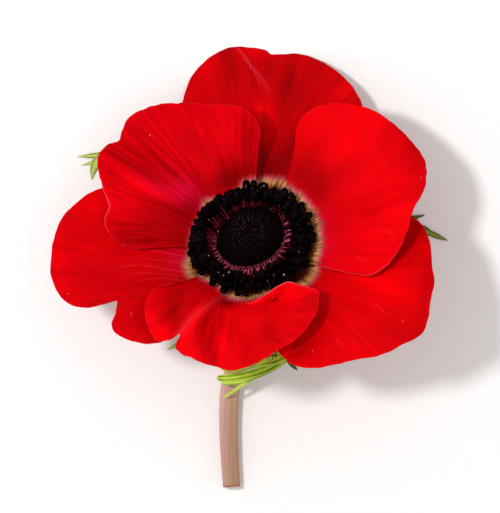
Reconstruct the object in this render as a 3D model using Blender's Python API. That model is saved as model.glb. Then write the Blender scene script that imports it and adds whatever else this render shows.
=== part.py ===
"""Cut anemone flower, lying on its side on a flat surface.

Six broad petals in two whorls of three stand round a dark dome of pistils and a ring of stamens. The bloom
sits on the receptacle, the swollen end of a short cut stem, and three divided bract leaves clasp the stem
just below it. Lengths in this file are millimetres, and the meshes are written in metres. +Z is up, the
surface that the flower lies on is z = 0, and the origin is there, below the middle of the flower's box.

The bloom has a frame of its own. A place in it is (azimuth, radius, height): azimuth in degrees round the
bloom's axis, 0 towards the right and 90 away from the stem, radius from that axis, and height above the top
of the receptacle.
"""

import math
import random
from dataclasses import dataclass

import bpy
import numpy as np
from mathutils import Vector

MM = 0.001

# The bloom's frame: the middle of the receptacle's top, and the way that the bloom faces.
BLOOM_CENTRE = Vector((1.0, 4.8, 15.5))
BLOOM_AXIS = Vector((-0.16, 0.50, 0.85)).normalized()
BLOOM_RIGHT = (Vector((1, 0, 0)) - BLOOM_AXIS * BLOOM_AXIS.x).normalized()
BLOOM_FAR = BLOOM_AXIS.cross(BLOOM_RIGHT)
TABLE_EASE = 0.8

# Blades: the petals' and bracts' thickness, and how finely each is divided.
PETAL_THICK = 0.7
PETAL_STEPS = 8
PETAL_EDGE_STEP = 6.0
BRACT_THICK = 0.6
LEAFLET_STEP = 4.5
LEAFLET_ROOT = 0.45
LEAFLET_WIDEST = 0.6
LEAFLET_TIP = 0.03
LEAFLET_CHANNEL = 0.15

# The petals' roots, as (radius, height), and how far each runs out from there before it turns up.
OUTER_SEAT = (6.5, -2.3)
INNER_SEAT = (8.35, -0.7)
CLAW = 10.5

# How many half waves of a sine a fold's height follows from the petal's root to its edge.
FOLD_WAVE = 0.75

# The stem: the receptacle's outline as (height, radius), then the middle line from there to the cut.
RECEPTACLE = (
    (0, 8.0), (-0.9, 7.8), (-1.5, 6.6), (-2.0, 6.0), (-3.2, 5.3), (-4.4, 3.9), (-5.6, 2.8), (-6.8, 2.35),
)
STEM_LINE = (
    (2.35, -1.6, 6.5), (2.0, -6.0, 4.05), (0.6, -12.0, 2.65), (-2.0, -19.0, 2.25), (-4.1, -26.0, 2.2),
    (-4.6, -34.0, 2.1), (-4.3, -42.0, 2.0), (-3.9, -48.5, 1.9),
)
NECK_RADIUS = 2.2
CUT_RADIUS = 1.85
STEM_STEP = 2.6
STEM_SIDES = 16

# The dome of pistils, widest a little above its foot.
DOME_RADIUS = 7.3
DOME_FOOT_RADIUS = 6.1
DOME_FOOT = 0.3
DOME_WIDEST = 5.0
DOME_TOP = 8.2
DOME_SIDES = 36
DOME_RINGS = 17
DOME_LAST_CLIMB = 86
DOME_BUMP = 0.5

# The stamens: the ring that they grow from, and rows as (count, radius, height).
RING_INNER = 7.5
RING_OUTER = 8.4
RING_FOOT = 0.3
RING_TOP = 1.4
RING_SIDES = 48
STAMEN_ROWS = ((32, 13.0, 3.4), (28, 11.8, 4.8), (22, 10.7, 6.0))
STAMEN_SIDES = 5
STAMEN_SUNK = 0.5
FILAMENT_RADIUS = 0.3
ANTHER_LENGTH = 2.8
ANTHER_RADIUS = 0.7
ANTHER_SPREAD = 0.5

# How far one stamen strays from its row's even places: turn and lean in degrees, reach and height in mm.
STAMEN_TURN = 2
STAMEN_LEAN = 5
STAMEN_REACH = 0.45
STAMEN_RISE = 0.5
STAMEN_SEED = 7


def bloom_way(azimuth):
    """The direction straight out from the bloom's axis at an azimuth."""
    turn = math.radians(azimuth)
    return BLOOM_RIGHT * math.cos(turn) + BLOOM_FAR * math.sin(turn)


def bloom_place(azimuth, radius, height):
    """The point at a place in the bloom's frame."""
    return BLOOM_CENTRE + bloom_way(azimuth) * radius + BLOOM_AXIS * height


def colour(hex_code):
    """A colour from its sRGB hex code, as the linear RGBA that a shader takes."""
    parts = [int(hex_code[i : i + 2], 16) / 255 for i in (0, 2, 4)]
    return [p / 12.92 if p <= 0.04045 else ((p + 0.055) / 1.055) ** 2.4 for p in parts] + [1.0]


def material(name, hex_code, roughness):
    """A plain finish of one colour."""
    made = bpy.data.materials.new(name)
    made.use_nodes = True
    shader = made.node_tree.nodes["Principled BSDF"]
    shader.inputs["Base Color"].default_value = colour(hex_code)
    shader.inputs["Roughness"].default_value = roughness
    shader.inputs["Metallic"].default_value = 0.0
    made.diffuse_color = colour(hex_code)
    return made


def add_object(name, points, faces, finish, collection=None):
    """An object of the flower from its points, in millimetres, and its faces."""
    mesh = bpy.data.meshes.new(name)
    mesh.from_pydata([Vector(p) * MM for p in points], [], faces)
    mesh.shade_smooth()
    mesh.set_sharp_from_angle(angle=math.radians(50))
    mesh.materials.append(finish)
    made = bpy.data.objects.new(name, mesh)
    (collection or bpy.context.scene.collection).objects.link(made)
    return made


def along(points):
    """How far along a line each of its points lies."""
    return np.concatenate([[0], np.cumsum(np.linalg.norm(np.diff(points, axis=0), axis=1))])


def smooth_line(points, step):
    """Points on a smooth curve through the points given, with no two further apart than step."""
    given = np.array([tuple(p) for p in points], float)
    knots = along(given)
    slopes = np.gradient(given, knots, axis=0)
    line = [given[:1]]
    for k in range(len(given) - 1):
        width = knots[k + 1] - knots[k]
        pieces = math.ceil(width / step)
        u = np.linspace(0, 1, pieces + 1)[1:, None]
        line.append(
            (2 * u**3 - 3 * u**2 + 1) * given[k]
            + (u**3 - 2 * u**2 + u) * width * slopes[k]
            + (3 * u**2 - 2 * u**3) * given[k + 1]
            + (u**3 - u**2) * width * slopes[k + 1]
        )
    return np.concatenate(line)


def skin(rings):
    """The points and faces of a closed body skinned over rings of points, with a flat face on each end."""
    sides = len(rings[0])
    faces = [tuple(reversed(range(sides)))]
    for j in range(len(rings) - 1):
        for i in range(sides):
            k = (i + 1) % sides
            a, b = j * sides, (j + 1) * sides
            faces.append((a + i, a + k, b + k, b + i))
    faces.append(tuple(range((len(rings) - 1) * sides, len(rings) * sides)))
    return [point for ring in rings for point in ring], faces


@dataclass(frozen=True)
class Petal:
    """One petal: where it is rooted, its free edge, and the folds that run along it.

    margin lists (azimuth, radius, height) round the free edge, from the side of the lower azimuth to the
    other. folds lists (place across the petal from -1 to 1, half width on that scale, height).
    """

    name: str
    seat: tuple
    facing: float
    half_root: float
    bow: float
    margin: tuple
    folds: tuple


@dataclass(frozen=True)
class Leaflet:
    """One leaflet of a bract: the middle line from its root to its tip, as points, and its half width."""

    line: tuple
    half_width: float


PETALS = (
    Petal(
        "petal_top", OUTER_SEAT, 84, 30, 0.55,
        (
            (38, 26, 2.5), (44, 35, 4.5), (51, 40, 6), (60, 42.8, 7), (68, 44.8, 7.0), (76, 45.8, 6.6),
            (83.4, 45.6, 6.4), (88, 47.2, 6.6), (93, 47.9, 6.8), (99, 47.0, 7), (105, 44.4, 7.4),
            (112, 39, 7.5), (118, 33, 6), (123, 26, 3.5),
        ),
        ((-0.15, 0.16, 0.9), (0.12, 0.12, -0.9), (0.45, 0.2, 0.8)),
    ),
    Petal(
        "petal_left", OUTER_SEAT, 196, 30, 0.5,
        (
            (146, 22, 2.5), (151, 29, 5.5), (159, 34.7, 8.5), (167, 38.4, 10), (174, 41.2, 10.5),
            (181, 42.8, 11), (188, 44, 11.5), (195, 45, 11.5), (201.5, 44.5, 11.5), (206.5, 42.5, 11),
            (209.2, 38.7, 10.5), (209.7, 33.3, 9), (213.4, 35.6, 9.5), (217, 38.4, 10), (222, 39.4, 10),
            (228, 38, 8.4), (233, 34, 5.4), (238, 26, 1.2),
        ),
        ((-0.25, 0.16, 1.0), (0.05, 0.1, -0.8), (0.3, 0.12, 0.8)),
    ),
    Petal(
        "petal_lower_right", OUTER_SEAT, 324, 30, 0.5,
        (
            (279, 24, 3), (282.5, 32.5, 5.5), (287, 37.5, 7), (292, 39.6, 7), (302, 42.2, 7),
            (310.5, 45.8, 7), (316, 47.4, 7), (323, 49.1, 7), (327, 48.2, 7), (332, 46.4, 7),
            (338.3, 44.9, 7), (343.4, 43.1, 7), (350, 41.7, 7), (355.4, 40, 6.6), (361, 37.2, 5.6),
            (369, 32, 3.6), (376, 25, 1.0),
        ),
        ((-0.3, 0.2, 0.8), (0.1, 0.2, -0.7), (0.5, 0.2, 0.6)),
    ),
    Petal(
        "petal_upper_left", INNER_SEAT, 132, 44, 0.45,
        (
            (81.5, 22, 10), (82, 24.4, 12), (85, 25.8, 13.5), (90.6, 27.2, 15.5), (98, 27.9, 16),
            (108, 29.7, 16), (119, 33.1, 16), (127, 35.3, 16), (134, 36.2, 16), (139.6, 35.4, 15.5),
            (142.2, 34.7, 15), (146, 36.2, 15), (150, 37, 15), (156, 35.6, 14.2), (163, 33, 13.6),
            (170, 30.8, 13), (176, 31.5, 13), (181, 30.6, 11.8), (184.5, 28.5, 9.6), (185.4, 25, 7.4),
        ),
        ((-0.55, 0.12, 0.7), (-0.2, 0.09, -0.7), (0.05, 0.1, 0.9), (0.3, 0.09, -0.9), (0.62, 0.2, 0.9)),
    ),
    Petal(
        "petal_upper_right", INNER_SEAT, 18, 42, 0.45,
        (
            (-29.5, 26, 6.6), (-28.2, 30.4, 8), (-24.7, 33, 9), (-18.4, 34.9, 9.5), (-10.5, 36.3, 10),
            (-0.5, 37.8, 10.5), (6, 40.2, 11), (10.2, 41.3, 11.5), (14.5, 42, 12), (19, 41.9, 12.5),
            (25, 40.5, 13), (32, 39.2, 13.5), (39, 38, 14), (47, 35.4, 14.5), (54, 32.8, 14.5),
            (58.3, 31, 14), (61.8, 28.6, 13), (63.5, 25.4, 11),
        ),
        ((-0.35, 0.18, 0.8), (0.05, 0.16, -0.9), (0.5, 0.25, 0.9)),
    ),
    Petal(
        "petal_front", INNER_SEAT, 252, 44, 0.5,
        (
            (214, 20, 6.4), (212.4, 25, 8), (219, 29.5, 9), (226.4, 32.2, 9), (234, 33.9, 9),
            (238.5, 33, 8.5), (240, 30.6, 8), (242, 33.6, 8.6), (249, 35.8, 10), (257, 37, 10.6),
            (265, 37.5, 11), (273, 35.8, 10), (281, 33.9, 10), (289, 31.4, 10), (298, 29.4, 10),
            (305, 27.9, 10), (310.6, 25.5, 10), (309, 22.4, 9.6), (305.5, 19.4, 9), (300, 17.8, 8.6),
        ),
        ((-0.45, 0.2, 0.5), (-0.1, 0.14, -1.0), (0.3, 0.25, 0.8)),
    ),
)

BRACTS = {
    "bract_right": (
        Leaflet(((5.05, 1.0, 9.2), (12, 3.5, 6.2), (24, 9.0, 2.4), (36, 9.4, 0.5), (44.3, 6.3, -0.5)), 2.3),
        Leaflet(((29, 9.9, 1.5), (34.5, 10.6, 0.6), (38.9, 12.1, -0.4)), 1.0),
        Leaflet(((14, 4.6, 5.4), (22, 13.5, 2.4), (27, 21, 0.6), (30.5, 27.5, -0.5)), 2.2),
        Leaflet(((9, 2.4, 7.6), (17, -2.5, 4.2), (24, -9, 1.2), (29.5, -16.5, -0.5)), 2.2),
        Leaflet(((20, -5.4, 2.8), (28, -5.8, 0.8), (34, -7.5, -0.5)), 1.5),
    ),
    "bract_left": (
        Leaflet(((-1.05, 2.0, 8.8), (-8, 6, 6.0), (-21, 16.5, 2.2), (-31, 25, 0.5), (-38.4, 25, -0.5)), 2.2),
        Leaflet(((-28.5, 23.0, 1.0), (-33.2, 23.9, 0.4), (-37.4, 22.8, -0.5)), 1.0),
        Leaflet(((-28.0, 22.6, 1.2), (-33.6, 23.0, 0.6), (-35.0, 19.6, -0.5)), 1.2),
        Leaflet(((-16, 12.6, 3.5), (-19, 21, 1.4), (-20.5, 30, -0.5)), 1.9),
        Leaflet(((-6, 4.8, 6.8), (-14, 3.5, 4.2), (-24, 6.5, 1.2), (-34, 5.5, -0.5)), 2.3),
        Leaflet(((-5, 4.3, 7.2), (-11, -3, 5.4), (-11, -14, 3.2), (-18.4, -18.1, 1.2)), 1.8),
    ),
    "bract_front": (
        Leaflet(
            ((2.4, -2.2, 10.2), (6.5, -8, 12.4), (9.4, -14.8, 12.6), (3.6, -21.8, 9.6), (-5.7, -28.6, 6.7)),
            2.3,
        ),
        Leaflet(((6.7, -9.5, 12.6), (9.0, -14.5, 13.0), (3, -20.9, 11.2), (-6.9, -24.7, 8.4)), 2.7),
        Leaflet(((5.8, -8.2, 12.4), (7.2, -13, 13.2), (1.5, -18.8, 12.2), (-6.4, -22.2, 9.8)), 2.3),
        Leaflet(((7.5, -10.5, 12.6), (9.8, -15, 12.8), (9.6, -19, 11.6), (10.6, -22.5, 10.0)), 2.2),
    ),
}


def petal_sheet(petal, edge_step, steps):
    """A petal's middle surface, as an array of points by ray, round the edge, and by step outwards."""
    axis = np.array(BLOOM_AXIS)
    radius, height = petal.seat
    edge = smooth_line([bloom_place(*place) for place in petal.margin], edge_step)
    reach = along(edge)
    u = np.linspace(0, 1, steps)[:, None]
    sheet = []
    for end, across in zip(edge, 2 * reach / reach[-1] - 1):
        azimuth = petal.facing + across * petal.half_root
        root = np.array(bloom_place(azimuth, radius, height))
        run = max(CLAW, np.linalg.norm(end - root) / 2)
        turn = np.array(bloom_place(azimuth, radius + run, height))
        turn += axis * ((end - root) @ axis) * (1 - petal.bow) / 2
        fold = sum(h * math.exp(-(((across - s) / w) ** 2)) for s, w, h in petal.folds)
        ray = (1 - u) ** 2 * root + 2 * u * (1 - u) * turn + u**2 * end
        sheet.append(ray + axis * fold * np.sin(FOLD_WAVE * np.pi * u) ** 2)
    return np.array(sheet)


def above_table(z):
    """A height that would pass below the table, eased onto it."""
    eased = (z + TABLE_EASE) ** 2 / (4 * TABLE_EASE)
    return np.where(z <= -TABLE_EASE, 0.0, np.where(z < TABLE_EASE, eased, z))


def blade(name, sheet, up, thick, finish):
    """A thin blade round a middle surface, its back eased onto the table, its two faces split alike."""
    normals = np.cross(np.gradient(sheet, axis=1), np.gradient(sheet, axis=0))
    normals /= np.linalg.norm(normals, axis=2, keepdims=True)
    turned = np.sign((normals @ np.array(up)).sum())
    back = sheet - normals * turned * thick / 2
    back[..., 2] = above_table(back[..., 2])
    rays, steps = sheet.shape[:2]
    faces = []
    for i in range(rays - 1):
        for j in range(steps - 1):
            a, b = i * steps + j, (i + 1) * steps + j
            faces.extend(((a, b + 1, b), (a, a + 1, b + 1)))
    if turned < 0:
        faces = [face[::-1] for face in faces]
    made = add_object(name, back.reshape(-1, 3), faces, finish)
    solid = made.modifiers.new("thickness", "SOLIDIFY")
    solid.thickness = thick * MM
    solid.offset = 1
    return made


def leaflet_rings(leaflet):
    """The rings of points of one leaflet, a thin blade with a low channel along its middle."""
    line = smooth_line(leaflet.line, LEAFLET_STEP)
    share = along(line) / along(line)[-1]
    rings = []
    for middle, way, s in zip(line, np.gradient(line, axis=0), share):
        widening = LEAFLET_ROOT + (1 - LEAFLET_ROOT) * math.sin(math.pi / 2 * min(1, s / LEAFLET_WIDEST))
        narrowing = min(1, (1 + LEAFLET_TIP - s) / (1 - LEAFLET_WIDEST))
        wide = leaflet.half_width * widening * narrowing
        side = np.cross(way, (0, 0, 1))
        side /= np.linalg.norm(side)
        back = [middle + side * wide, middle - (0, 0, LEAFLET_CHANNEL * wide), middle - side * wide]
        back = [(x, y, float(above_table(z - BRACT_THICK / 2))) for x, y, z in back]
        front = [(x, y, z + BRACT_THICK) for x, y, z in reversed(back)]
        rings.append([*back, *front])
    return rings


def bract_object(name, leaflets, finish):
    """A bract: its leaflets, joined into one body."""
    first, *others = [skin(leaflet_rings(leaflet)) for leaflet in leaflets]
    bract = add_object(name, *first, finish)
    grown = bpy.data.collections.new(f"{name}_leaflets")
    bpy.context.scene.collection.children.link(grown)
    for k, (points, faces) in enumerate(others):
        add_object(f"{name}_leaflet_{k}", points, faces, finish, grown)
    return join(bract, grown)


def stem_object(finish):
    """The stem from the receptacle's top to the cut, as a curve with a round section of varying radius."""
    rings = [(BLOOM_CENTRE + BLOOM_AXIS * height, radius) for height, radius in RECEPTACLE]
    line = smooth_line([rings[-1][0], *STEM_LINE], STEM_STEP)[1:]
    down = along(line) / along(line)[-1]
    rings += [(point, NECK_RADIUS + (CUT_RADIUS - NECK_RADIUS) * s) for point, s in zip(line, down)]
    curve = bpy.data.curves.new("stem", "CURVE")
    curve.dimensions = "3D"
    curve.bevel_depth = MM
    curve.bevel_resolution = STEM_SIDES // 2 - 2
    curve.use_fill_caps = True
    spline = curve.splines.new("POLY")
    spline.points.add(len(rings) - 1)
    for point, (place, radius) in zip(spline.points, rings):
        point.co = (*(Vector(place) * MM), 1)
        point.radius = radius
    curve.materials.append(finish)
    made = bpy.data.objects.new("stem", curve)
    bpy.context.scene.collection.objects.link(made)
    return made


def dome_object(finish):
    """The dome of pistils, with rows of bumps, each row half a step round from the last."""
    lowest = -math.acos(DOME_FOOT_RADIUS / DOME_RADIUS)
    below = (DOME_FOOT - DOME_WIDEST) / math.sin(lowest)
    above = DOME_TOP - DOME_WIDEST
    rings = []
    for j, climb in enumerate(np.linspace(lowest, math.radians(DOME_LAST_CLIMB), DOME_RINGS)):
        ring = []
        for i in range(DOME_SIDES):
            bump = DOME_BUMP if j % 2 and (i + j // 2) % 2 else 0
            height = DOME_WIDEST + ((above if climb > 0 else below) + bump) * math.sin(climb)
            ring.append(bloom_place(360 * i / DOME_SIDES, (DOME_RADIUS + bump) * math.cos(climb), height))
        rings.append(ring)
    return add_object("pistil_dome", *skin(rings), finish)


def ring_object(finish):
    """The low ring that the stamens grow from, round the dome's foot."""
    section = (
        (RING_INNER, RING_FOOT), (RING_OUTER, RING_FOOT), (RING_OUTER, RING_TOP), (RING_INNER, RING_TOP),
    )
    count = len(section)
    points = []
    faces = []
    for i in range(RING_SIDES):
        points += [bloom_place(360 * i / RING_SIDES, radius, height) for radius, height in section]
        a, b = i * count, (i + 1) % RING_SIDES * count
        for j in range(count):
            k = (j + 1) % count
            faces.append((a + j, b + j, b + k, a + k))
    return add_object("stamen_ring", points, faces, finish)


def stamen_rings(azimuth, radius, height, lean):
    """The rings of points of one stamen: a thin filament from the ring, and the anther at its end."""
    root = bloom_place(azimuth, (RING_INNER + RING_OUTER) / 2, RING_TOP - STAMEN_SUNK)
    anther = bloom_place(azimuth + lean, radius, height)
    lie = ((anther - root).normalized() + bloom_way(azimuth + 3 * lean) * ANTHER_SPREAD).normalized()
    side = lie.cross(BLOOM_AXIS).normalized()
    top = lie.cross(side)
    line = (
        (root, FILAMENT_RADIUS),
        (anther - lie * ANTHER_LENGTH * 0.5, FILAMENT_RADIUS),
        (anther - lie * ANTHER_LENGTH * 0.3, ANTHER_RADIUS),
        (anther + lie * ANTHER_LENGTH * 0.25, ANTHER_RADIUS),
        (anther + lie * ANTHER_LENGTH * 0.5, ANTHER_RADIUS * 0.4),
    )
    turns = [2 * math.pi * k / STAMEN_SIDES for k in range(STAMEN_SIDES)]
    return [
        [middle + (side * math.cos(t) + top * math.sin(t)) * wide for t in turns] for middle, wide in line
    ]


def stamens_object(finish):
    """The ring with all its stamens, joined into one body."""
    ring = ring_object(finish)
    grown = bpy.data.collections.new("stamens")
    bpy.context.scene.collection.children.link(grown)
    draw = random.Random(STAMEN_SEED)
    for row, (count, radius, height) in enumerate(STAMEN_ROWS):
        for i in range(count):
            azimuth = 360 * (i + 0.5 * row) / count + draw.uniform(-STAMEN_TURN, STAMEN_TURN)
            reach = radius + draw.uniform(-STAMEN_REACH, STAMEN_REACH)
            rise = height + draw.uniform(-STAMEN_RISE, STAMEN_RISE)
            rings = stamen_rings(azimuth, reach, rise, draw.uniform(-STAMEN_LEAN, STAMEN_LEAN))
            add_object(f"stamen_{row}_{i}", *skin(rings), finish, grown)
    return join(ring, grown)


def join(body, grown):
    """The body with every object of a collection joined to it, and those objects removed."""
    union = body.modifiers.new("join", "BOOLEAN")
    union.operation = "UNION"
    union.operand_type = "COLLECTION"
    union.collection = grown
    with bpy.context.temp_override(object=body, active_object=body):
        bpy.ops.object.modifier_apply(modifier=union.name)
    for part in list(grown.objects):
        bpy.data.objects.remove(part)
    bpy.data.collections.remove(grown)
    return body


def clear_scene():
    """Removes whatever the scene holds."""
    for old in list(bpy.data.objects):
        bpy.data.objects.remove(old)


def main():
    """Builds the flower."""
    clear_scene()
    red = material("petal_red", "D8000C", 0.55)
    green = material("bract_green", "7F9440", 0.6)
    for petal in PETALS:
        sheet = petal_sheet(petal, PETAL_EDGE_STEP, PETAL_STEPS)
        blade(petal.name, sheet, BLOOM_AXIS, PETAL_THICK, red)
    for name, leaflets in BRACTS.items():
        bract_object(name, leaflets, green)
    stem_object(material("stem_skin", "B58A74", 0.6))
    dome_object(material("pistil_black", "150910", 0.7))
    stamens_object(material("stamen_black", "1B0A18", 0.45))


main()
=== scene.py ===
"""The looks of a cut red anemone that lies on a pale surface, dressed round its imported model.

Each piece here is a finer mesh of the solid that it stands for, made from the same driving sizes. Those are
millimetres, and meshes are written in metres. +Z is up, the surface that the flower lies on is z = 0, and
the bloom has a frame of its own, whose places are (azimuth, radius, height): azimuth in degrees round the
bloom's axis, 0 towards the right and 90 away from the stem, radius from that axis, and height above the top
of the receptacle.
"""

from __future__ import annotations

import logging
import math
import random
from dataclasses import dataclass, field
from enum import Enum

import bpy
import numpy as np
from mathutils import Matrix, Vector, noise


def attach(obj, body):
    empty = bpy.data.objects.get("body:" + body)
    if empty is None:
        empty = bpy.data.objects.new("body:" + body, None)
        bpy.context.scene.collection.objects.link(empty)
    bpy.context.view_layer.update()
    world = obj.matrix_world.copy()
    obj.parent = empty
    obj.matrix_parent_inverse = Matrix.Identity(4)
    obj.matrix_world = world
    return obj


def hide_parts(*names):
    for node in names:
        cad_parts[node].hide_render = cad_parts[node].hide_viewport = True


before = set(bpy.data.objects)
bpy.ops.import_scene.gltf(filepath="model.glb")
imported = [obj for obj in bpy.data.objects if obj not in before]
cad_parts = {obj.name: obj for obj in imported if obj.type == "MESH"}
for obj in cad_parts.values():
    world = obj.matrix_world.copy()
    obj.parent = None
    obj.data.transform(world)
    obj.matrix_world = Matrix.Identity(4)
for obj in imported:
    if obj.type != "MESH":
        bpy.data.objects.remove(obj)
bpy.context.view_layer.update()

LOG = logging.getLogger("anemone")
MM = 0.001

# What would pass below the table is eased onto it from this height on.
TABLE_EASE = 0.8

# A Mix node's sockets: its factor, the two sides and the result for colours, and two sides for numbers.
MIX_FACTOR = 0
MIX_A = 6
MIX_B = 7
MIX_RESULT = 2
MIX_LOW = 2
MIX_HIGH = 3

Tree = bpy.types.NodeTree
Node = bpy.types.Node
Socket = bpy.types.NodeSocket
Links = dict[str | int, object]
Place = tuple[float, float, float]
Patch = tuple[float, float, float, float, float]
Part = tuple[np.ndarray, list[list[int]], dict[str, object]]


def linear(hex_code: str) -> tuple[float, float, float, float]:
    """A colour for a shader.

    Args:
        hex_code: the colour in sRGB, as six hex digits.

    Returns:
        The colour as linear red, green, blue and an alpha of 1.
    """
    parts = [int(hex_code[i : i + 2], 16) / 255 for i in (0, 2, 4)]
    red, green, blue = (p / 12.92 if p <= 0.04045 else ((p + 0.055) / 1.055) ** 2.4 for p in parts)
    return red, green, blue, 1.0


def feed(tree: Tree, node: Node, inputs: Links) -> None:
    """Sets or links a node's inputs.

    Args:
        tree: the material's node tree.
        node: the node.
        inputs: its input sockets by name or place, each with a value to set, a socket to link, a node whose
            first output is linked, or the name of one of the mesh's attributes.
    """
    for label, value in inputs.items():
        if isinstance(value, str):
            value = add_node(tree, "Attribute", attribute_name=value).outputs["Fac"]
        elif isinstance(value, Node):
            value = value.outputs[0]
        if isinstance(value, Socket):
            tree.links.new(value, node.inputs[label])
        else:
            node.inputs[label].default_value = value


def add_node(tree: Tree, kind: str, inputs: Links | None = None, **settings: object) -> Node:
    """Adds a node with its settings and links.

    Args:
        tree: the material's node tree.
        kind: Blender's name for the kind of node, without the ShaderNode that it starts with.
        inputs: what its inputs get, as feed takes it.
        settings: the node's own properties, and a colour ramp's stops as (place, sRGB hex).

    Returns:
        The node.
    """
    node = tree.nodes.new(f"ShaderNode{kind}")
    for label, value in settings.items():
        if label != "stops":
            setattr(node, label, value)
            continue
        stops = node.color_ramp.elements
        while len(stops) < len(value):
            stops.new(1.0)
        for stop, (place, hex_code) in zip(stops, value):
            stop.position = place
            stop.color = linear(hex_code)
    feed(tree, node, inputs or {})
    return node


def lay(tree: Tree, colour: object, *layers: tuple[object, object]) -> Socket:
    """Lays colours over a colour, one after the other.

    Args:
        tree: the material's node tree.
        colour: the lowest colour, linear or from a node.
        layers: how much of each colour shows, as feed takes it, and the colour, in sRGB hex or from a node.

    Returns:
        The socket of what shows in the end.
    """
    for amount, over in layers:
        top = linear(over) if isinstance(over, str) else over
        inputs = {MIX_FACTOR: amount, MIX_A: colour, MIX_B: top}
        colour = add_node(tree, "Mix", inputs, data_type="RGBA").outputs[MIX_RESULT]
    return colour


def specks(tree: Tree, density: float, least: float, radius: float) -> Node:
    """Scattered round specks, such as grains of pollen, drawn a few times wider than real so that they show.

    Args:
        tree: the material's node tree.
        density: how many cells that may hold one lie along a millimetre.
        least: the share of the cells that stay empty.
        radius: a speck's radius, as a share of a cell.

    Returns:
        The node of how much of the speck's colour shows, from 0 to 0.6.
    """
    where = add_node(tree, "TexCoord").outputs["Object"]
    cells = add_node(tree, "TexVoronoi", {"Vector": where, "Scale": density / MM})
    picked = add_node(tree, "SeparateColor", {"Color": cells.outputs["Color"]})
    few = add_node(tree, "Math", {0: picked, 1: least}, operation="GREATER_THAN")
    reach = {"Value": cells, "From Min": 1.25 * radius, "From Max": 0.75 * radius, "To Max": 0.6}
    dot = add_node(tree, "MapRange", reach)
    return add_node(tree, "Math", {0: few, 1: dot}, operation="MULTIPLY")


def add_piece(name: str, parts: list[Part], finish: bpy.types.Material) -> bpy.types.Object:
    """Adds a piece to the scene, as one mesh.

    Args:
        name: the piece's name.
        parts: its parts, each as points in millimetres, faces that count from the part's own first point, and
            numbers for the material to read, by name, which spread over the points.
        finish: its material.

    Returns:
        The piece, a mesh object at the origin.
    """
    faces: list[list[int]] = []
    start = 0
    for points, corners, _ in parts:
        faces += [[corner + start for corner in face] for face in corners]
        start += points[..., 0].size
    every = np.concatenate([points.reshape(-1, 3) for points, _, _ in parts])
    mesh = bpy.data.meshes.new(name)
    mesh.from_pydata((every * MM).tolist(), [], faces)
    mesh.shade_smooth()
    mesh.materials.append(finish)
    for label in parts[0][2]:
        spread = [np.broadcast_to(tones[label], points.shape[:-1]).ravel() for points, _, tones in parts]
        layer = mesh.attributes.new(label, "FLOAT", "POINT")
        layer.data.foreach_set("value", np.concatenate(spread).astype(np.float32))
    piece = bpy.data.objects.new(name, mesh)
    bpy.context.scene.collection.objects.link(piece)
    return piece


def seat(piece: bpy.types.Object, node: str, slot: str) -> None:
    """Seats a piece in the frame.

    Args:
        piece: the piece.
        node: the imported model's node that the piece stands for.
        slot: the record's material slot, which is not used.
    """
    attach(piece, "root")
    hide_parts(node)
    LOG.info("%s stands for %s with %d faces", piece.name, node, len(piece.data.polygons))


def along(points: np.ndarray) -> np.ndarray:
    """How far along a line each of its points lies."""
    return np.concatenate([[0], np.cumsum(np.linalg.norm(np.diff(points, axis=0), axis=1))])


def smooth_line(points: list | tuple | np.ndarray, step: float) -> np.ndarray:
    """A smooth curve through some points.

    Args:
        points: the points that the curve goes through.
        step: the furthest that two of its points may lie apart.

    Returns:
        The curve's points, the given ones among them.
    """
    given = np.array(points, float)
    knots = along(given)
    slopes = np.gradient(given, knots, axis=0)
    line = [given[:1]]
    for k in range(len(given) - 1):
        width = knots[k + 1] - knots[k]
        u = np.linspace(0, 1, math.ceil(width / step) + 1)[1:, None]
        line.append(
            (2 * u**3 - 3 * u**2 + 1) * given[k]
            + (u**3 - 2 * u**2 + u) * width * slopes[k]
            + (3 * u**2 - 2 * u**3) * given[k + 1]
            + (u**3 - u**2) * width * slopes[k + 1]
        )
    return np.concatenate(line)


def bend(starts: np.ndarray, turns: np.ndarray, ends: np.ndarray, count: int) -> np.ndarray:
    """Lines that set out towards one point and bend round to another.

    Args:
        starts: the lines' first points.
        turns: the points that they set out towards.
        ends: their last points.
        count: how many points a line has.

    Returns:
        Their points, as (line, point, 3).
    """
    t = np.linspace(0, 1, count)[:, None]
    return (1 - t) ** 2 * starts[:, None] + 2 * t * (1 - t) * turns[:, None] + t**2 * ends[:, None]


def unit(vectors: np.ndarray) -> np.ndarray:
    """Vectors of the same directions, each one long."""
    return vectors / np.linalg.norm(vectors, axis=-1, keepdims=True)


def smooth_share(values: np.ndarray, low: float, high: float) -> np.ndarray:
    """A share that rises smoothly from 0 at low to 1 at high."""
    share = np.clip((values - low) / (high - low), 0, 1)
    return share * share * (3 - 2 * share)


def hump(values: np.ndarray, middle: float, width: float) -> np.ndarray:
    """A share that falls smoothly from 1 at the middle to both sides."""
    return np.exp(-(((values - middle) / width) ** 2))


def wander(rows: np.ndarray, columns: np.ndarray, seed: float) -> np.ndarray:
    """Smooth noise from about -1 to 1 over a grid, read at (rows, columns) of a plane picked by seed."""
    flat = [noise.noise((r, c, seed)) for r, c in zip(rows.ravel().tolist(), columns.ravel().tolist())]
    return np.array(flat).reshape(rows.shape)


def both_sides(sheet: np.ndarray, ways: np.ndarray, half: np.ndarray) -> np.ndarray:
    """The two sides of a thin blade, lifted where it would pass below the table.

    Args:
        sheet: the points of the blade's middle surface.
        ways: the way from its back to its front at each of them.
        half: half of its thickness at each of them.

    Returns:
        The front's points and the back's, as (side, row, column, 3).
    """
    sides = np.stack([sheet + ways * half[..., None], sheet - ways * half[..., None]])
    z = sides[1, ..., 2]
    eased = (z + TABLE_EASE) ** 2 / (4 * TABLE_EASE)
    sides[..., 2] += np.where(z <= -TABLE_EASE, 0.0, np.where(z < TABLE_EASE, eased, z)) - z
    return sides


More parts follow.
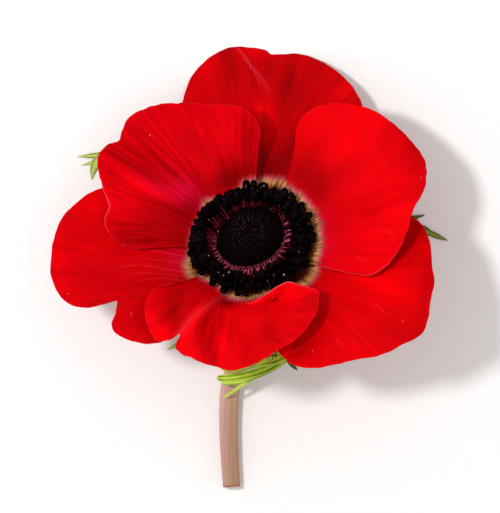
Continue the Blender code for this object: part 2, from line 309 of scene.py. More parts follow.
def blade_faces(rows: int, columns: int, turned: bool) -> list[list[int]]:
    """The faces of a closed thin blade.

    Args:
        rows: how many rows of points each of its two sides has.
        columns: how many points a row has.
        turned: whether the front side's faces have to be turned round.

    Returns:
        The faces over the front side's points and then the back side's.
    """
    index = np.arange(rows * columns).reshape(rows, columns)
    front = np.stack([index[:-1, :-1], index[:-1, 1:], index[1:, 1:], index[1:, :-1]], -1).reshape(-1, 4)
    back = front[:, ::-1] + rows * columns
    edge = np.concatenate([index[0, :-1], index[:-1, -1], index[-1, :0:-1], index[:0:-1, 0]])
    after = np.roll(edge, -1)
    wall = np.stack([after, edge, edge + rows * columns, after + rows * columns], -1)
    faces = np.concatenate([front, back, wall])
    return (faces[:, ::-1] if turned else faces).tolist()


def tube_faces(count: int, rings: int, sides: int) -> list[list[int]]:
    """The faces of tubes with closed ends.

    Args:
        count: how many tubes there are.
        rings: how many rings of points each has.
        sides: how many points a ring has.

    Returns:
        The faces over the points of all the tubes, in order.
    """
    index = np.arange(count * rings * sides).reshape(count, rings, sides)
    after = np.roll(index, -1, axis=2)
    quads = np.stack([index[:, :-1], after[:, :-1], after[:, 1:], index[:, 1:]], -1).reshape(-1, 4)
    return [*quads.tolist(), *index[:, 0, ::-1].tolist(), *index[:, -1].tolist()]


def tubes(lines: np.ndarray, radii: np.ndarray, hint: np.ndarray, section: np.ndarray) -> np.ndarray:
    """The points of tubes round middle lines.

    Args:
        lines: the middle lines' points, as (tube, point, 3).
        radii: the tube's radius at each of those points, as (tube, point).
        hint: a direction that a tube's section has its top towards, or one for each tube.
        section: how far the section reaches at each of its even turns, as a share of the radius.

    Returns:
        The points, as (tube, ring, turn, 3).
    """
    ways = unit(np.gradient(lines, axis=1))
    across = unit(np.cross(ways, np.broadcast_to(np.expand_dims(hint, -2), ways.shape)))
    tops = np.cross(ways, across)
    turns = 2 * math.pi * np.arange(len(section)) / len(section)
    reach = (radii[..., None] * section)[..., None]
    around = across[:, :, None] * np.cos(turns)[:, None] + tops[:, :, None] * np.sin(turns)[:, None]
    return lines[:, :, None] + around * reach


@dataclass
class Bloom:
    """The bloom's own frame. ring lists (azimuth, how much narrower than round the cream ring is there).

    Where the ring is narrower the dark base reaches further out, partly as the ring's own shape and partly as
    painted shade from the stamens.
    """

    centre: Place = (1.0, 4.8, 15.5)
    facing: Place = (-0.16, 0.50, 0.85)
    ring: tuple[tuple[float, float], ...] = (
        (0, 0.1), (50, 0.0), (85, 0.1), (98, 0.8), (106, 2.7), (118, 2.4), (127, 0.6), (134, 0.3), (144, 1.7),
        (165, 2.0), (182, 1.7), (192, 0.4), (212, 0.6), (228, 1.8), (241, 1.2), (249, 0.4), (262, 0.2),
        (285, 0.9), (300, 1.2), (318, 0.2), (345, 0.0),
    )
    axis: np.ndarray = field(init=False)
    right: np.ndarray = field(init=False)
    far: np.ndarray = field(init=False)

    def __post_init__(self) -> None:
        """Works out the frame's three directions."""
        self.axis = unit(np.array(self.facing))
        self.right = unit(np.array([1, 0, 0]) - self.axis * self.axis[0])
        self.far = np.cross(self.axis, self.right)

    def way(self, azimuth: float | np.ndarray) -> np.ndarray:
        """The directions straight out from the bloom's axis at some azimuths."""
        turn = np.radians(np.asarray(azimuth, float))[..., None]
        return self.right * np.cos(turn) + self.far * np.sin(turn)

    def place(
        self, azimuth: float | np.ndarray, radius: float | np.ndarray, height: float | np.ndarray
    ) -> np.ndarray:
        """Points at places in the bloom's frame.

        Args:
            azimuth: the turn round the bloom's axis, in degrees.
            radius: the distance from that axis.
            height: the height above the receptacle's top.

        Returns:
            The points in the flower's frame.
        """
        out = np.asarray(radius, float)[..., None]
        up = np.asarray(height, float)[..., None]
        return np.array(self.centre) + self.way(azimuth) * out + self.axis * up

    def ring_reach(self, points: np.ndarray) -> np.ndarray:
        """How far out points lie, moved so that the cream ring is as wide as it should be.

        Args:
            points: the points in the flower's frame.

        Returns:
            The distance of each from the bloom's axis, plus what the ring is narrower by there.
        """
        away = points - np.array(self.centre)
        azimuths = np.degrees(np.arctan2(away @ self.far, away @ self.right))
        places, shifts = zip(*self.ring)
        shift = np.interp(azimuths, places, shifts, period=360)
        return np.linalg.norm(away - (away @ self.axis)[..., None] * self.axis, axis=-1) + shift


@dataclass(frozen=True)
class Finish:
    """What the finishes have in common.

    roughness, specular and ior are the shader's own, where a specular of 0.5 is what the IOR gives. relief is
    how strongly the fine relief shows, and depth how deep it is in millimetres.
    """

    roughness: float = 0.5
    specular: float = 0.3
    ior: float = 1.42
    relief: float = 0.4
    depth: float = 0.1

    def gloss(self) -> Links:
        """What the shader's sockets for gloss are set to."""
        return {"Roughness": self.roughness, "Specular IOR Level": self.specular, "IOR": self.ior}

    def paint(self, tree: Tree) -> tuple[Socket, Node | None]:
        """The colour's socket, and the node whose first output is the relief's height, if there is one."""
        raise NotImplementedError

    def material(self, name: str) -> bpy.types.Material:
        """Makes the finish's material.

        Args:
            name: the material's name.

        Returns:
            The material, with one Principled shader.
        """
        made = bpy.data.materials.new(name)
        made.use_nodes = True
        tree = made.node_tree
        colour, height = self.paint(tree)
        inputs = {**self.gloss(), "Base Color": colour}
        if height:
            bump = {"Strength": self.relief, "Distance": self.depth * MM, "Height": height}
            inputs["Normal"] = add_node(tree, "Bump", bump)
        feed(tree, tree.nodes["Principled BSDF"], inputs)
        return made


@dataclass(frozen=True)
class PetalSkin(Finish):
    """Fresh petal: a thin matt skin over wet cells, which scatter light until hardly any white shine is left.

    Fine veins run out from the claw and fan. Round the stamens the red gives way, through a magenta flush, to
    a cream ring that the veins cross in brown, and under the stamens it is dark, partly the petal's own dark
    base and partly painted shade from the stamens. veined is the veins' share in the streaks of the red,
    ring_span how far out the ring's colours begin and end, and jagged how far its edges run in and out.
    """

    deep: str = "B40006"
    bright: str = "E80008"
    claw: str = "1A0407"
    cream: str = "D29C5E"
    flush: str = "DA0A34"
    brown: str = "5C2210"
    tan: str = "A4683A"
    rose: str = "D65C68"
    line: str = "7A3A20"
    # The pink of the painted highlight along the rim and of the creases, which are partly pale of their own.
    pale: str = "F2566A"
    back: str = "BC2230"
    speck: str = "F7B7A8"
    roughness: float = 0.62
    specular: float = 0.02
    ior: float = 1.4
    relief: float = 0.35
    depth: float = 0.12
    veined: float = 0.32
    ring_span: tuple[float, float] = (11.6, 21.6)
    jagged: float = 2.2
    seed: float = 0.0

    def paint(self, tree: Tree) -> tuple[Socket, Node]:
        """The petal's colour, with creases drawn pale, partly as their own paleness and partly as painted
        highlight, a painted highlight along its thin rim and specks of pollen, and its veins' height.

        A real petal's veins are 0.3 mm apart. These are about 0.8 mm apart, so as to show.

        Args:
            tree: the material's node tree.

        Returns:
            The colour's socket and the height's node.
        """
        veins = self.streaks(tree, 34, 1.6, 4.0, 0.62)
        colour = self.ring(tree, self.red(tree, veins))
        # The rim's painted highlight, and the creases' paleness, which is partly painted highlight.
        return lay(tree, colour, ("pale", self.pale), (specks(tree, 0.5, 0.955, 0.06), self.speck)), veins

    def streaks(self, tree: Tree, across: float, outwards: float, detail: float, roughness: float) -> Node:
        """Streaks that run along the petal's veins.

        Args:
            tree: the material's node tree.
            across: about how many of them lie side by side on half of the petal.
            outwards: about how many lie end to end along it.
            detail: how many times the streaks are broken up into finer ones.
            roughness: how strong the finer ones are.

        Returns:
            The noise node, whose first output is the streaks' strength.
        """
        wide = add_node(tree, "Math", {0: "across", 1: across}, operation="MULTIPLY")
        long = add_node(tree, "Math", {0: "outwards", 1: outwards}, operation="MULTIPLY")
        place = add_node(tree, "CombineXYZ", {"X": wide, "Y": long, "Z": self.seed})
        inputs = {"Vector": place, "Scale": 1.0, "Detail": detail, "Roughness": roughness}
        return add_node(tree, "TexNoise", inputs)

    def red(self, tree: Tree, veins: Node) -> Socket:
        """The petal's red: deeper and brighter streaks, painted shade in the furrows, patches of painted
        light and shade, and a duller back.

        Args:
            tree: the material's node tree.
            veins: the node of the fine veins.

        Returns:
            The red's socket.
        """
        broad = self.streaks(tree, 5, 2.2, 3.0, 0.5)
        shares = {MIX_FACTOR: self.veined, MIX_LOW: broad, MIX_HIGH: veins}
        both = add_node(tree, "Mix", shares, data_type="FLOAT")
        stops = ((0.30, self.deep), (0.55, self.bright), (0.75, self.bright))
        streaked = add_node(tree, "ValToRGB", {"Fac": both}, stops=stops)
        # Painted shade: the red deepens along the furrows of the fine folds.
        furrow = add_node(tree, "Math", {0: "furrow", 1: 0.3}, operation="MULTIPLY")
        fade = {"Value": "outwards", "From Min": 0.3, "From Max": 0.75, "To Min": 0.7, "To Max": 0.0}
        inner = add_node(tree, "MapRange", fade, interpolation_type="SMOOTHSTEP")
        red = lay(tree, streaked, (furrow, self.deep), (inner, self.deep), ("warm", self.flush))
        # Painted light and shade: the soft patches scale the red up or down.
        patched = add_node(tree, "VectorMath", {0: red, "Scale": "glow"}, operation="SCALE")
        return lay(tree, patched, ("behind", self.back))

    def ring(self, tree: Tree, colour: Socket) -> Socket:
        """Lays the ring round the stamens over the red.

        Args:
            tree: the material's node tree.
            colour: the red.

        Returns:
            The socket of the red with its ring.
        """
        jitter = self.streaks(tree, 30, 0.5, 1.0, 0.5)
        moved = {0: jitter, 1: self.jagged, 2: "reach"}
        reach = add_node(tree, "Math", moved, operation="MULTIPLY_ADD")
        start, end = self.ring_span
        share = add_node(tree, "MapRange", {"Value": reach, "From Min": start, "From Max": end})
        # The claw's dark and the brown band next to it are partly the petal's own colours and partly painted
        # shade from the stamens.
        stops = (
            (0.20, self.claw), (0.29, self.brown), (0.36, self.tan), (0.45, self.cream), (0.53, self.rose),
            (0.63, self.flush),
        )
        band = add_node(tree, "ValToRGB", {"Fac": share}, stops=stops)
        thin = {"Value": jitter, "From Min": 0.50, "From Max": 0.40, "To Max": 0.75}
        lines = add_node(tree, "MapRange", thin)
        rim = {"Value": share, "From Min": 0.49, "From Max": 0.66, "To Min": 1.0, "To Max": 0.0}
        fade = add_node(tree, "MapRange", rim, interpolation_type="SMOOTHSTEP")
        return lay(tree, colour, (fade, lay(tree, band, (lines, self.line))))


@dataclass(frozen=True)
class PistilVelvet(Finish):
    """Packed pistils: near black and downy, so that they take light as velvet does, bluish where it grazes.

    Lower on the flank and on the fringe round it the styles are magenta.
    """

    dark: str = "0A0203"
    # The colour of the painted glints on some styles' tips.
    tip: str = "564A5E"
    magenta: str = "FF6E88"
    down: str = "6A64B0"
    roughness: float = 0.7
    specular: float = 0.01
    ior: float = 1.45

    def gloss(self) -> Links:
        """What the shader's sockets for gloss and for the down's faint sheen are set to."""
        sheen = {"Sheen Weight": 0.015, "Sheen Roughness": 0.4, "Sheen Tint": linear(self.down)}
        return super().gloss() | sheen

    def paint(self, tree: Tree) -> tuple[Socket, None]:
        """The pistils' colour: dark, with painted glints on some tips, and magenta styles."""
        return lay(tree, linear(self.dark), ("tip", self.tip), ("blush", self.magenta)), None


@dataclass(frozen=True)
class StamenSkin(Finish):
    """Stamens: waxy anther skins, near black with a purple cast and small glints, and rosy filaments."""

    dark: str = "030001"
    light: str = "0C0406"
    rosy: str = "8E2236"
    # Pale specks, partly pollen and partly painted glints.
    pollen: str = "C8B8BC"
    roughness: float = 0.2
    specular: float = 0.03
    ior: float = 1.45
    relief: float = 0.5
    depth: float = 0.08

    def paint(self, tree: Tree) -> tuple[Socket, Node]:
        """The stamens' colour, dusted with pale specks that are partly pollen and partly painted glints, and
        the height of a grain of about 0.5 mm.

        Args:
            tree: the material's node tree.

        Returns:
            The colour's socket and the height's node.
        """
        where = add_node(tree, "TexCoord").outputs["Object"]
        grain = add_node(tree, "TexNoise", {"Vector": where, "Scale": 2.2 / MM, "Detail": 3.0})
        # Pale specks, partly pollen and partly painted glints.
        dust_and_glints = specks(tree, 0.9, 0.9, 0.17)
        layers = ("tip", self.light), ("blush", self.rosy), (dust_and_glints, self.pollen)
        return lay(tree, linear(self.dark), *layers), grain


@dataclass(frozen=True)
class StemSkin(Finish):
    """Fresh stem: a ribbed, faintly downy skin, pinkish tan over green, with a browned cut.

    Its left side is drawn lighter and pinker, partly its own colour and partly painted light; a painted
    highlight runs down its right side; it is darker towards the cut; and painted shade darkens the
    receptacle's top.
    """

    tan: str = "C49C84"
    rose: str = "D2AE9C"
    shade: str = "A06C56"
    # The lighter, pinker left side: partly the stem's own colour, partly painted light.
    blush: str = "E4B8AE"
    # The painted highlight down the stem's right side.
    sunned: str = "D2AE7E"
    # Darker towards the cut.
    worn: str = "8C5F48"
    green: str = "8C9A5A"
    cut: str = "A0522C"
    pith: str = "D9C8A0"
    # Painted shade on the receptacle's top, under the petals and the dome.
    seat: str = "16060A"

    def paint(self, tree: Tree) -> tuple[Socket, Node]:
        """The stem's colour, from its fibres up to the colours, painted light and painted shade laid over
        them, and the fibres' height.

        Args:
            tree: the material's node tree.

        Returns:
            The colour's socket and the height's node.
        """
        where = add_node(tree, "TexCoord").outputs["Object"]
        scale = (1.4 / MM, 0.06 / MM, 1.4 / MM)
        drawn = add_node(tree, "Mapping", {"Vector": where, "Scale": scale})
        inputs = {"Vector": drawn, "Scale": 1.0, "Detail": 5.0, "Roughness": 0.6}
        fibres = add_node(tree, "TexNoise", inputs)
        stops = ((0.30, self.shade), (0.48, self.tan), (0.68, self.rose))
        skin = add_node(tree, "ValToRGB", {"Fac": fibres}, stops=stops)
        stains = (
            ("blush", self.blush), ("sunned", self.sunned), ("worn", self.worn), ("green", self.green),
            ("browned", self.cut), ("pith", self.pith), ("shaded", self.seat),
        )
        return lay(tree, skin, *stains), fibres


@dataclass(frozen=True)
class LeafSkin(Finish):
    """Fresh bract leaf: a matt yellow-green skin with paler ribs and rims, and a little brown staining.

    striped is the stripes' share in the pattern of its greens.
    """

    deep: str = "4E6C00"
    green: str = "96C00C"
    light: str = "C6DC4C"
    rim: str = "DCE6AE"
    shade: str = "2A3A04"
    stain: str = "5A2418"
    roughness: float = 0.55
    specular: float = 0.15
    striped: float = 0.55

    def paint(self, tree: Tree) -> tuple[Socket, Node]:
        """The leaf's colour, from its mottled and striped green up to its stains, and the mottle's height.

        Args:
            tree: the material's node tree.

        Returns:
            The colour's socket and the height's node.
        """
        where = add_node(tree, "TexCoord").outputs["Object"]
        inputs = {"Vector": where, "Scale": 0.35 / MM, "Detail": 5.0, "Roughness": 0.65}
        mottle = add_node(tree, "TexNoise", inputs)
        shares = {MIX_FACTOR: self.striped, MIX_LOW: mottle, MIX_HIGH: "stripe"}
        both = add_node(tree, "Mix", shares, data_type="FLOAT")
        stops = ((0.28, self.deep), (0.50, self.green), (0.72, self.light))
        skin = add_node(tree, "ValToRGB", {"Fac": both}, stops=stops)
        spots = add_node(tree, "TexNoise", {"Vector": where, "Scale": 1.1 / MM, "Detail": 2.0})
        spread = {"Value": spots, "From Min": 0.48, "From Max": 0.56}
        patch = add_node(tree, "MapRange", spread)
        stain = add_node(tree, "Math", {0: "stain", 1: patch}, operation="MULTIPLY")
        return lay(tree, skin, ("rib", self.rim), ("shade", self.shade), (stain, self.stain)), mottle


@dataclass(frozen=True)
class PaleCard(Finish):
    """The floor's card: matt pale paper, whose faint flecks keep it from looking like plastic."""

    card: str = "F4F4F2"
    fleck: str = "FAFAF9"
    roughness: float = 0.9
    specular: float = 0.2
    ior: float = 1.45

    def paint(self, tree: Tree) -> tuple[Socket, None]:
        """The card's colour, with flecks of about 2.5 mm.

        Args:
            tree: the material's node tree.

        Returns:
            The colour's socket, and no height.
        """
        where = add_node(tree, "TexCoord").outputs["Object"]
        flecks = add_node(tree, "TexNoise", {"Vector": where, "Scale": 0.4 / MM, "Detail": 3.0})
        return lay(tree, linear(self.card), (flecks, self.fleck)), None


class Whorl(Enum):
    """Where a whorl's petals are rooted on the receptacle, as (radius, height)."""

    OUTER = (6.5, -2.3)
    INNER = (8.35, -0.7)


@dataclass(frozen=True)
class Crease:
    """A crease on a petal, seen from above, drawn pale along its ridge.

    route lists (x, y) from its strong end, width is its half width, pale how pale it is drawn, partly its own
    paleness and partly painted highlight on its lit ridge, ridge how far it stands up and calm how much it
    smooths away the petal's fine folds.
    """

    route: tuple[tuple[float, float], ...]
    width: float
    pale: float
    ridge: float
    calm: float = 0.0

    def share(self, points: np.ndarray) -> np.ndarray:
        """How much of the crease's full strength points get.

        Args:
            points: the points in the flower's frame.

        Returns:
            Each point's share, from 0 to 1.
        """
        best = np.zeros(points.shape[:-1])
        route = smooth_line([(x, y, 0) for x, y in self.route], 1.0)[:, :2]
        length = along(route)
        for k in range(len(route) - 1):
            way = route[k + 1] - route[k]
            t = np.clip((points[..., :2] - route[k]) @ way / (way @ way), 0, 1)
            away = np.linalg.norm(points[..., :2] - route[k] - t[..., None] * way, axis=-1)
            fade = 1 - (length[k] + t * (length[k + 1] - length[k])) / length[-1]
            best = np.maximum(best, hump(away, 0, self.width) * np.sqrt(np.clip(fade, 0, 1)))
        return best


@dataclass
class Petal:
    """One petal: a thin blade from its claw on the receptacle to its free edge.

    margin lists (azimuth, radius, height) round the free edge, from the side of the lower azimuth to the
    other. folds and ripples list (place across the petal from -1 to 1, half width on that scale, height), and
    rims the same with how strong the painted highlight along the rim is there. patches and flushed list (x,
    y, width, length, gain) of soft patches seen from above, whose length lies along the veins, which run out
    from veins_from. The patches are painted light and shade: a patch's gain is how much brighter the red is
    drawn there, or darker where it is below 0, as a share of the red. A flushed patch's gain is how much of
    the magenta flush it has.
    """

    name: str
    whorl: Whorl
    facing: float
    half_root: float
    bow: float
    seed: float
    skin: PetalSkin
    margin: tuple[Place, ...]
    folds: tuple[Place, ...]
    ripples: tuple[Place, ...] = ()
    creases: tuple[Crease, ...] = ()
    rims: tuple[Place, ...] = ()
    patches: tuple[Patch, ...] = ()
    flushed: tuple[Patch, ...] = ()
    ring_shift: float = 0.0
    swing: float = 0.0
    swing_span: tuple[float, float] = (0.72, 0.9)
    ruffle: float = 0.16
    short_wave: float = 2.3
    long_wave: float = 6.5
    claw: float = 10.5
    root_sunk: float = 0.75
    fold_wave: float = 0.75
    edge_step: float = 0.38
    steps: int = 80
    thick: float = 0.32
    rim_share: float = 0.3
    rim_width: float = 1.6
    swell_span: tuple[float, float] = (0.12, 0.5)
    calm_span: tuple[float, float] = (0.7, 1.0)
    fan_count: float = 13.0
    fan_height: float = 0.5
    finer_fan: float = 3.1
    smooth_from: float = 2.0
    frill: float = 0.22
    frill_width: float = 1.8
    veins_from: tuple[float, float] = (0.0, 6.0)

    def middle(self, bloom: Bloom) -> tuple[np.ndarray, np.ndarray, np.ndarray]:
        """The petal's middle surface.

        Args:
            bloom: the bloom's frame.

        Returns:
            Its points, as (ray, step, 3), and each one's place across and outwards.
        """
        radius, height = self.whorl.value
        azimuths, radii, heights = np.array(self.margin).T
        given = bloom.place(azimuths, radii, heights)
        edge = smooth_line(given, self.edge_step)
        reach = along(edge)
        across = 2 * reach / reach[-1] - 1
        rooted = self.facing + across * self.half_root
        root = bloom.place(rooted, radius, height)
        flat = 0 * reach
        waves = wander(reach / self.short_wave, flat, self.seed)
        waves += 1.3 * wander(reach / self.long_wave, flat, self.seed + 3)
        edge = edge + unit(edge - root) * (self.ruffle * waves)[:, None]
        sunk = bloom.place(rooted, radius - self.root_sunk, height)
        run = np.maximum(self.claw, np.linalg.norm(edge - root, axis=1) / 2)
        ended = np.interp(reach, along(given), azimuths)
        swung = rooted + (ended - rooted) * self.swing * smooth_share(across, *self.swing_span)
        turn = bloom.place(swung, radius + run, height)
        turn += bloom.axis * (((edge - root) @ bloom.axis) * (1 - self.bow) / 2)[:, None]
        u = np.linspace(0, 1, self.steps)
        lift = self.raised(self.folds, across)[:, None] * np.sin(self.fold_wave * math.pi * u) ** 2
        sheet = bend(sunk, turn, edge, self.steps) + bloom.axis * lift[..., None]
        return sheet, *np.meshgrid(across, u, indexing="ij")

    def raised(self, folds: tuple[Place, ...], across: np.ndarray) -> np.ndarray:
        """How far some folds raise the petal at places across it."""
        return sum((h * hump(across, s, w) for s, w, h in folds), np.zeros_like(across))

    def relief(
        self, across: np.ndarray, outwards: np.ndarray, rim: np.ndarray
    ) -> tuple[np.ndarray, np.ndarray]:
        """How far each point is raised, and how strongly it is darkened as painted shade for lying in a
        furrow.

        Args:
            across: each point's place across the petal, from -1 to 1.
            outwards: its place from the claw, 0, to the edge, 1.
            rim: its distance from the free edge.

        Returns:
            How far each point is raised, and how much it lies in a furrow.
        """
        swell = smooth_share(outwards, *self.swell_span)
        calm = 1 - 0.5 * smooth_share(outwards, *self.calm_span)
        calm *= 1 - 0.8 * smooth_share(across, self.smooth_from, self.smooth_from + 0.15)
        swerve = across + 0.03 * wander(across * 2, outwards * 2.5, self.seed + 20)
        fan = wander(swerve * self.fan_count, outwards * 1.2, self.seed)
        finer = wander(swerve * self.fan_count * self.finer_fan, outwards * 2.0, self.seed + 9)
        ridge = np.sqrt(fan**2 + 0.0012) - 0.2
        small = np.sqrt(finer**2 + 0.003) - 0.2
        frill = self.frill * wander(across * 20, outwards * 0.4, self.seed + 5)
        frill = frill * np.exp(-rim / self.frill_width)
        ripples = self.raised(self.ripples, swerve) * np.sin(math.pi * np.clip(outwards, 0, 1)) ** 0.8
        fine = calm * self.fan_height * (ridge + 0.22 * small)
        furrow = np.maximum(hump(fan, 0, 0.07), 0.5 * hump(finer, 0, 0.09))
        return swell * (ripples + fine) + frill, furrow * swell * calm

    def patched(self, points: np.ndarray, patches: tuple[Patch, ...]) -> np.ndarray:
        """What soft patches add to a tone of the petal.

        Args:
            points: the petal's points.
            patches: the patches.

        Returns:
            The sum of what each point gets from them.
        """
        added = np.zeros(points.shape[:-1])
        for x, y, width, length, gain in patches:
            way = unit(np.array([x, y]) - self.veins_from)
            away = points[..., :2] - (x, y)
            sideways = away @ np.array([-way[1], way[0]])
            added += gain * np.exp(-((sideways / width) ** 2) - (away @ way / length) ** 2)
        return added

    def build(self, bloom: Bloom) -> None:
        """Builds the petal's mesh, dresses it and seats it.

        Args:
            bloom: the bloom's frame.
        """
        sheet, across, outwards = self.middle(bloom)
        normals = unit(np.cross(np.gradient(sheet, axis=1), np.gradient(sheet, axis=0)))
        turned = bool((normals @ bloom.axis).sum() < 0)
        normals = -normals if turned else normals
        rest = np.linalg.norm(np.diff(sheet, axis=1), axis=2)[:, ::-1].cumsum(axis=1)[:, ::-1]
        rest = np.concatenate([rest, np.zeros((len(sheet), 1))], axis=1)
        rim = np.minimum.reduce([rest, *(np.linalg.norm(sheet - sheet[k], axis=2) for k in (0, -1))])
        raised, furrow = self.relief(across, outwards, rim)
        for crease in self.creases:
            smooth = 1 - crease.calm * crease.share(sheet)
            raised = raised * smooth
            furrow = furrow * smooth
        sheet = sheet + normals * raised[..., None]
        # Painted highlight along the thin rim, stronger where rims say so.
        lit = np.clip(0.02 + self.raised(self.rims, across), 0, 1)
        pale = lit * hump(rim, 0, 0.2)
        for crease in self.creases:
            share = crease.share(sheet)
            sheet = sheet + normals * (share * crease.ridge)[..., None]
            pale = np.maximum(pale, share * crease.pale)
        half = self.thick / 2 * np.clip(np.sqrt(rim / self.rim_width), self.rim_share, 1)
        sides = both_sides(sheet, normals, half)
        tones = {
            "across": across,
            "outwards": outwards,
            # The rim's painted highlight, and the creases' paleness, which is partly painted highlight.
            "pale": pale,
            # Painted shade along the furrows of the fine folds.
            "furrow": furrow,
            "warm": self.patched(sheet, self.flushed),
            # Painted light and shade from the soft patches.
            "glow": np.maximum(1 + self.patched(sheet, self.patches), 0.2),
            "reach": bloom.ring_reach(sides) + self.ring_shift,
            "behind": np.array([0.0, 1.0])[:, None, None],
        }
        part = (sides, blade_faces(*across.shape, turned), tones)
        piece = add_piece(f"{self.name}_blade", [part], self.skin.material(f"{self.name}_skin"))
        seat(piece, self.name, "petal_red")


@dataclass
class Pistils:
    """The dome of pistils: its downy body, the styles that stand out of it, and the magenta fringe round it.

    The dome's foot and top lie this high, it is widest in between, and it is oval towards oval_way. Short
    threads make up the fringe, and spikes stand out of it.
    """

    radius: float = 7.45
    foot_radius: float = 6.2
    oval: float = 0.045
    oval_way: float = 38.0
    foot: float = 0.3
    widest: float = 4.3
    top: float = 7.6
    sides: int = 90
    rings: int = 44
    styles: int = 1300
    style_length: float = 0.4
    style_radius: float = 0.13
    style_spread: float = 12.0
    style_drop: float = 1.55
    fringe: int = 330
    fringe_radius: float = 0.09
    spikes: int = 58
    spike_radius: float = 0.17
    seed: int = 3
    velvet: PistilVelvet = PistilVelvet()

    def profile(self, climb: np.ndarray) -> tuple[np.ndarray, np.ndarray]:
        """The dome's outline.

        Args:
            climb: angles up the dome, which are 0 where it is widest.

        Returns:
            Its radius and height there.
        """
        lowest = -math.acos(self.foot_radius / self.radius)
        below = (self.foot - self.widest) / math.sin(lowest)
        tall = np.where(climb > 0, self.top - self.widest, below)
        return self.radius * np.cos(climb), self.widest + tall * np.sin(climb)

    def place(self, bloom: Bloom, azimuths: np.ndarray, climb: np.ndarray) -> tuple[np.ndarray, np.ndarray]:
        """Places on the dome.

        Args:
            bloom: the bloom's frame.
            azimuths: the turn of each place round the dome.
            climb: its angle up the dome.

        Returns:
            The points and their heights.
        """
        radii, heights = self.profile(climb)
        stretch = 1 + self.oval * np.cos(2 * np.radians(azimuths - self.oval_way))
        return bloom.place(azimuths, radii * stretch, heights), heights

    def body(self, bloom: Bloom) -> Part:
        """The dome's body.

        Args:
            bloom: the bloom's frame.

        Returns:
            Its part, with a faint blush low on its flank.
        """
        lowest = -math.acos(self.foot_radius / self.radius)
        climb = np.linspace(lowest, math.radians(88), self.rings)[:, None]
        points, heights = self.place(bloom, 360 * np.arange(self.sides)[None] / self.sides, climb)
        low = 1 - smooth_share(heights, self.widest - 1.6, self.widest - 0.4)
        return points, tube_faces(1, self.rings, self.sides), {"tip": 0.0, "blush": 0.08 * low}

    def standing(self, bloom: Bloom) -> Part:
        """The styles all over the dome, placed as seeds are on a seed head.

        Args:
            bloom: the bloom's frame.

        Returns:
            Their part, where some tips near the top get painted glints and the styles low on the flank are
            magenta.
        """
        draw = np.random.default_rng(self.seed + 1)
        golden = math.degrees(math.pi * (3 - math.sqrt(5)))
        order = np.arange(self.styles)
        ahead = draw.uniform(0.0, self.style_spread, self.styles)
        share = (order + ahead) / (self.styles + self.style_spread)
        climb = np.arcsin(1 - share * self.style_drop)
        azimuths = golden * order + draw.uniform(-3, 3, self.styles)
        roots, heights = self.place(bloom, azimuths, climb)
        out = bloom.way(azimuths) * np.cos(climb)[:, None] + bloom.axis * np.sin(climb)[:, None]
        lean = bloom.way(azimuths + 35) * 0.25
        length = self.style_length * draw.uniform(0.6, 1.3, self.styles)
        s = np.linspace(-0.3, 1, 5)[None, :, None]
        lines = roots[:, None] + (out[:, None] * s + lean[:, None] * s**2) * length[:, None, None]
        wide = np.broadcast_to(self.style_radius * np.array([1.0, 1.0, 0.85, 0.7, 0.35]), lines.shape[:2])
        lit = 0.55 + 0.4 * hump((azimuths + 45) % 360, 40, 45)
        blush = 0.8 * lit * (1 - smooth_share(heights, self.widest - 0.5, self.widest + 0.3))
        # Painted glints on the tips, most of them near the top.
        glint = np.random.default_rng(self.seed + 2).uniform(0, 1, self.styles) ** 2
        glint *= smooth_share(heights, self.widest + 2.1, self.top)
        tip = np.linspace(0, 1, 5)[None, :, None] * glint[:, None, None]
        points = tubes(lines, wide, bloom.axis + 0.01, np.ones(6))
        return points, tube_faces(*points.shape[:3]), {"tip": tip, "blush": blush[:, None, None]}

    def hanging(self, bloom: Bloom) -> Part:
        """The fringe of thin magenta styles round the dome's widest place.

        Args:
            bloom: the bloom's frame.

        Returns:
            The part of its threads and spikes.
        """
        draw = np.random.default_rng(self.seed)
        counts = [self.fringe, self.spikes]
        total = sum(counts)
        azimuths = np.concatenate([360 * (np.arange(n) + draw.uniform(-0.3, 0.3, n)) / n for n in counts])
        drop = np.concatenate([draw.uniform(0.0, 0.15, self.fringe), draw.uniform(0.6, 1.5, self.spikes)])
        near = 0.5 - 0.5 * np.sin(np.radians(azimuths[self.fringe :] - 35))
        short = draw.uniform(0.15, 0.35, self.fringe)
        long = draw.uniform(0.8, 1.2, self.spikes) * (0.7 + 1.2 * near)
        length = np.concatenate([short, long])[:, None, None]
        slant = math.sin(math.acos(self.foot_radius / self.radius)) / (self.widest - self.foot)
        roots, _ = self.place(bloom, azimuths, np.arcsin(-drop * slant))
        out = bloom.way(azimuths) + bloom.axis * draw.uniform(0.1, 0.45, total)[:, None]
        curl = bloom.way(azimuths + 90) * draw.uniform(-0.3, 0.3, total)[:, None]
        curl = curl + bloom.axis * draw.uniform(-0.1, 0.3, total)[:, None]
        s = np.linspace(-0.1, 1, 7)[None, :, None]
        lines = roots[:, None] + (out[:, None] * s + curl[:, None] * s**2) * length
        taper = np.array([1.2, 1.1, 1.0, 0.95, 0.9, 0.8, 0.4])
        wide = np.repeat([self.fringe_radius, self.spike_radius], counts) * draw.uniform(0.6, 1.1, total)
        rosy = np.random.default_rng(self.seed + 4).uniform(0.3, 1.0, total) ** 1.3
        rosy[: self.fringe] = 0.45
        points = tubes(lines, wide[:, None] * taper, bloom.axis + 0.01, np.ones(5))
        return points, tube_faces(*points.shape[:3]), {"tip": 0.0, "blush": rosy[:, None, None]}

    def build(self, bloom: Bloom) -> None:
        """Builds the dome with its styles and fringe, dresses it and seats it.

        Args:
            bloom: the bloom's frame.
        """
        parts = [self.body(bloom), self.standing(bloom), self.hanging(bloom)]
        piece = add_piece("pistil_dome_styles", parts, self.velvet.material("pistil_velvet"))
        seat(piece, "pistil_dome", "pistil_black")


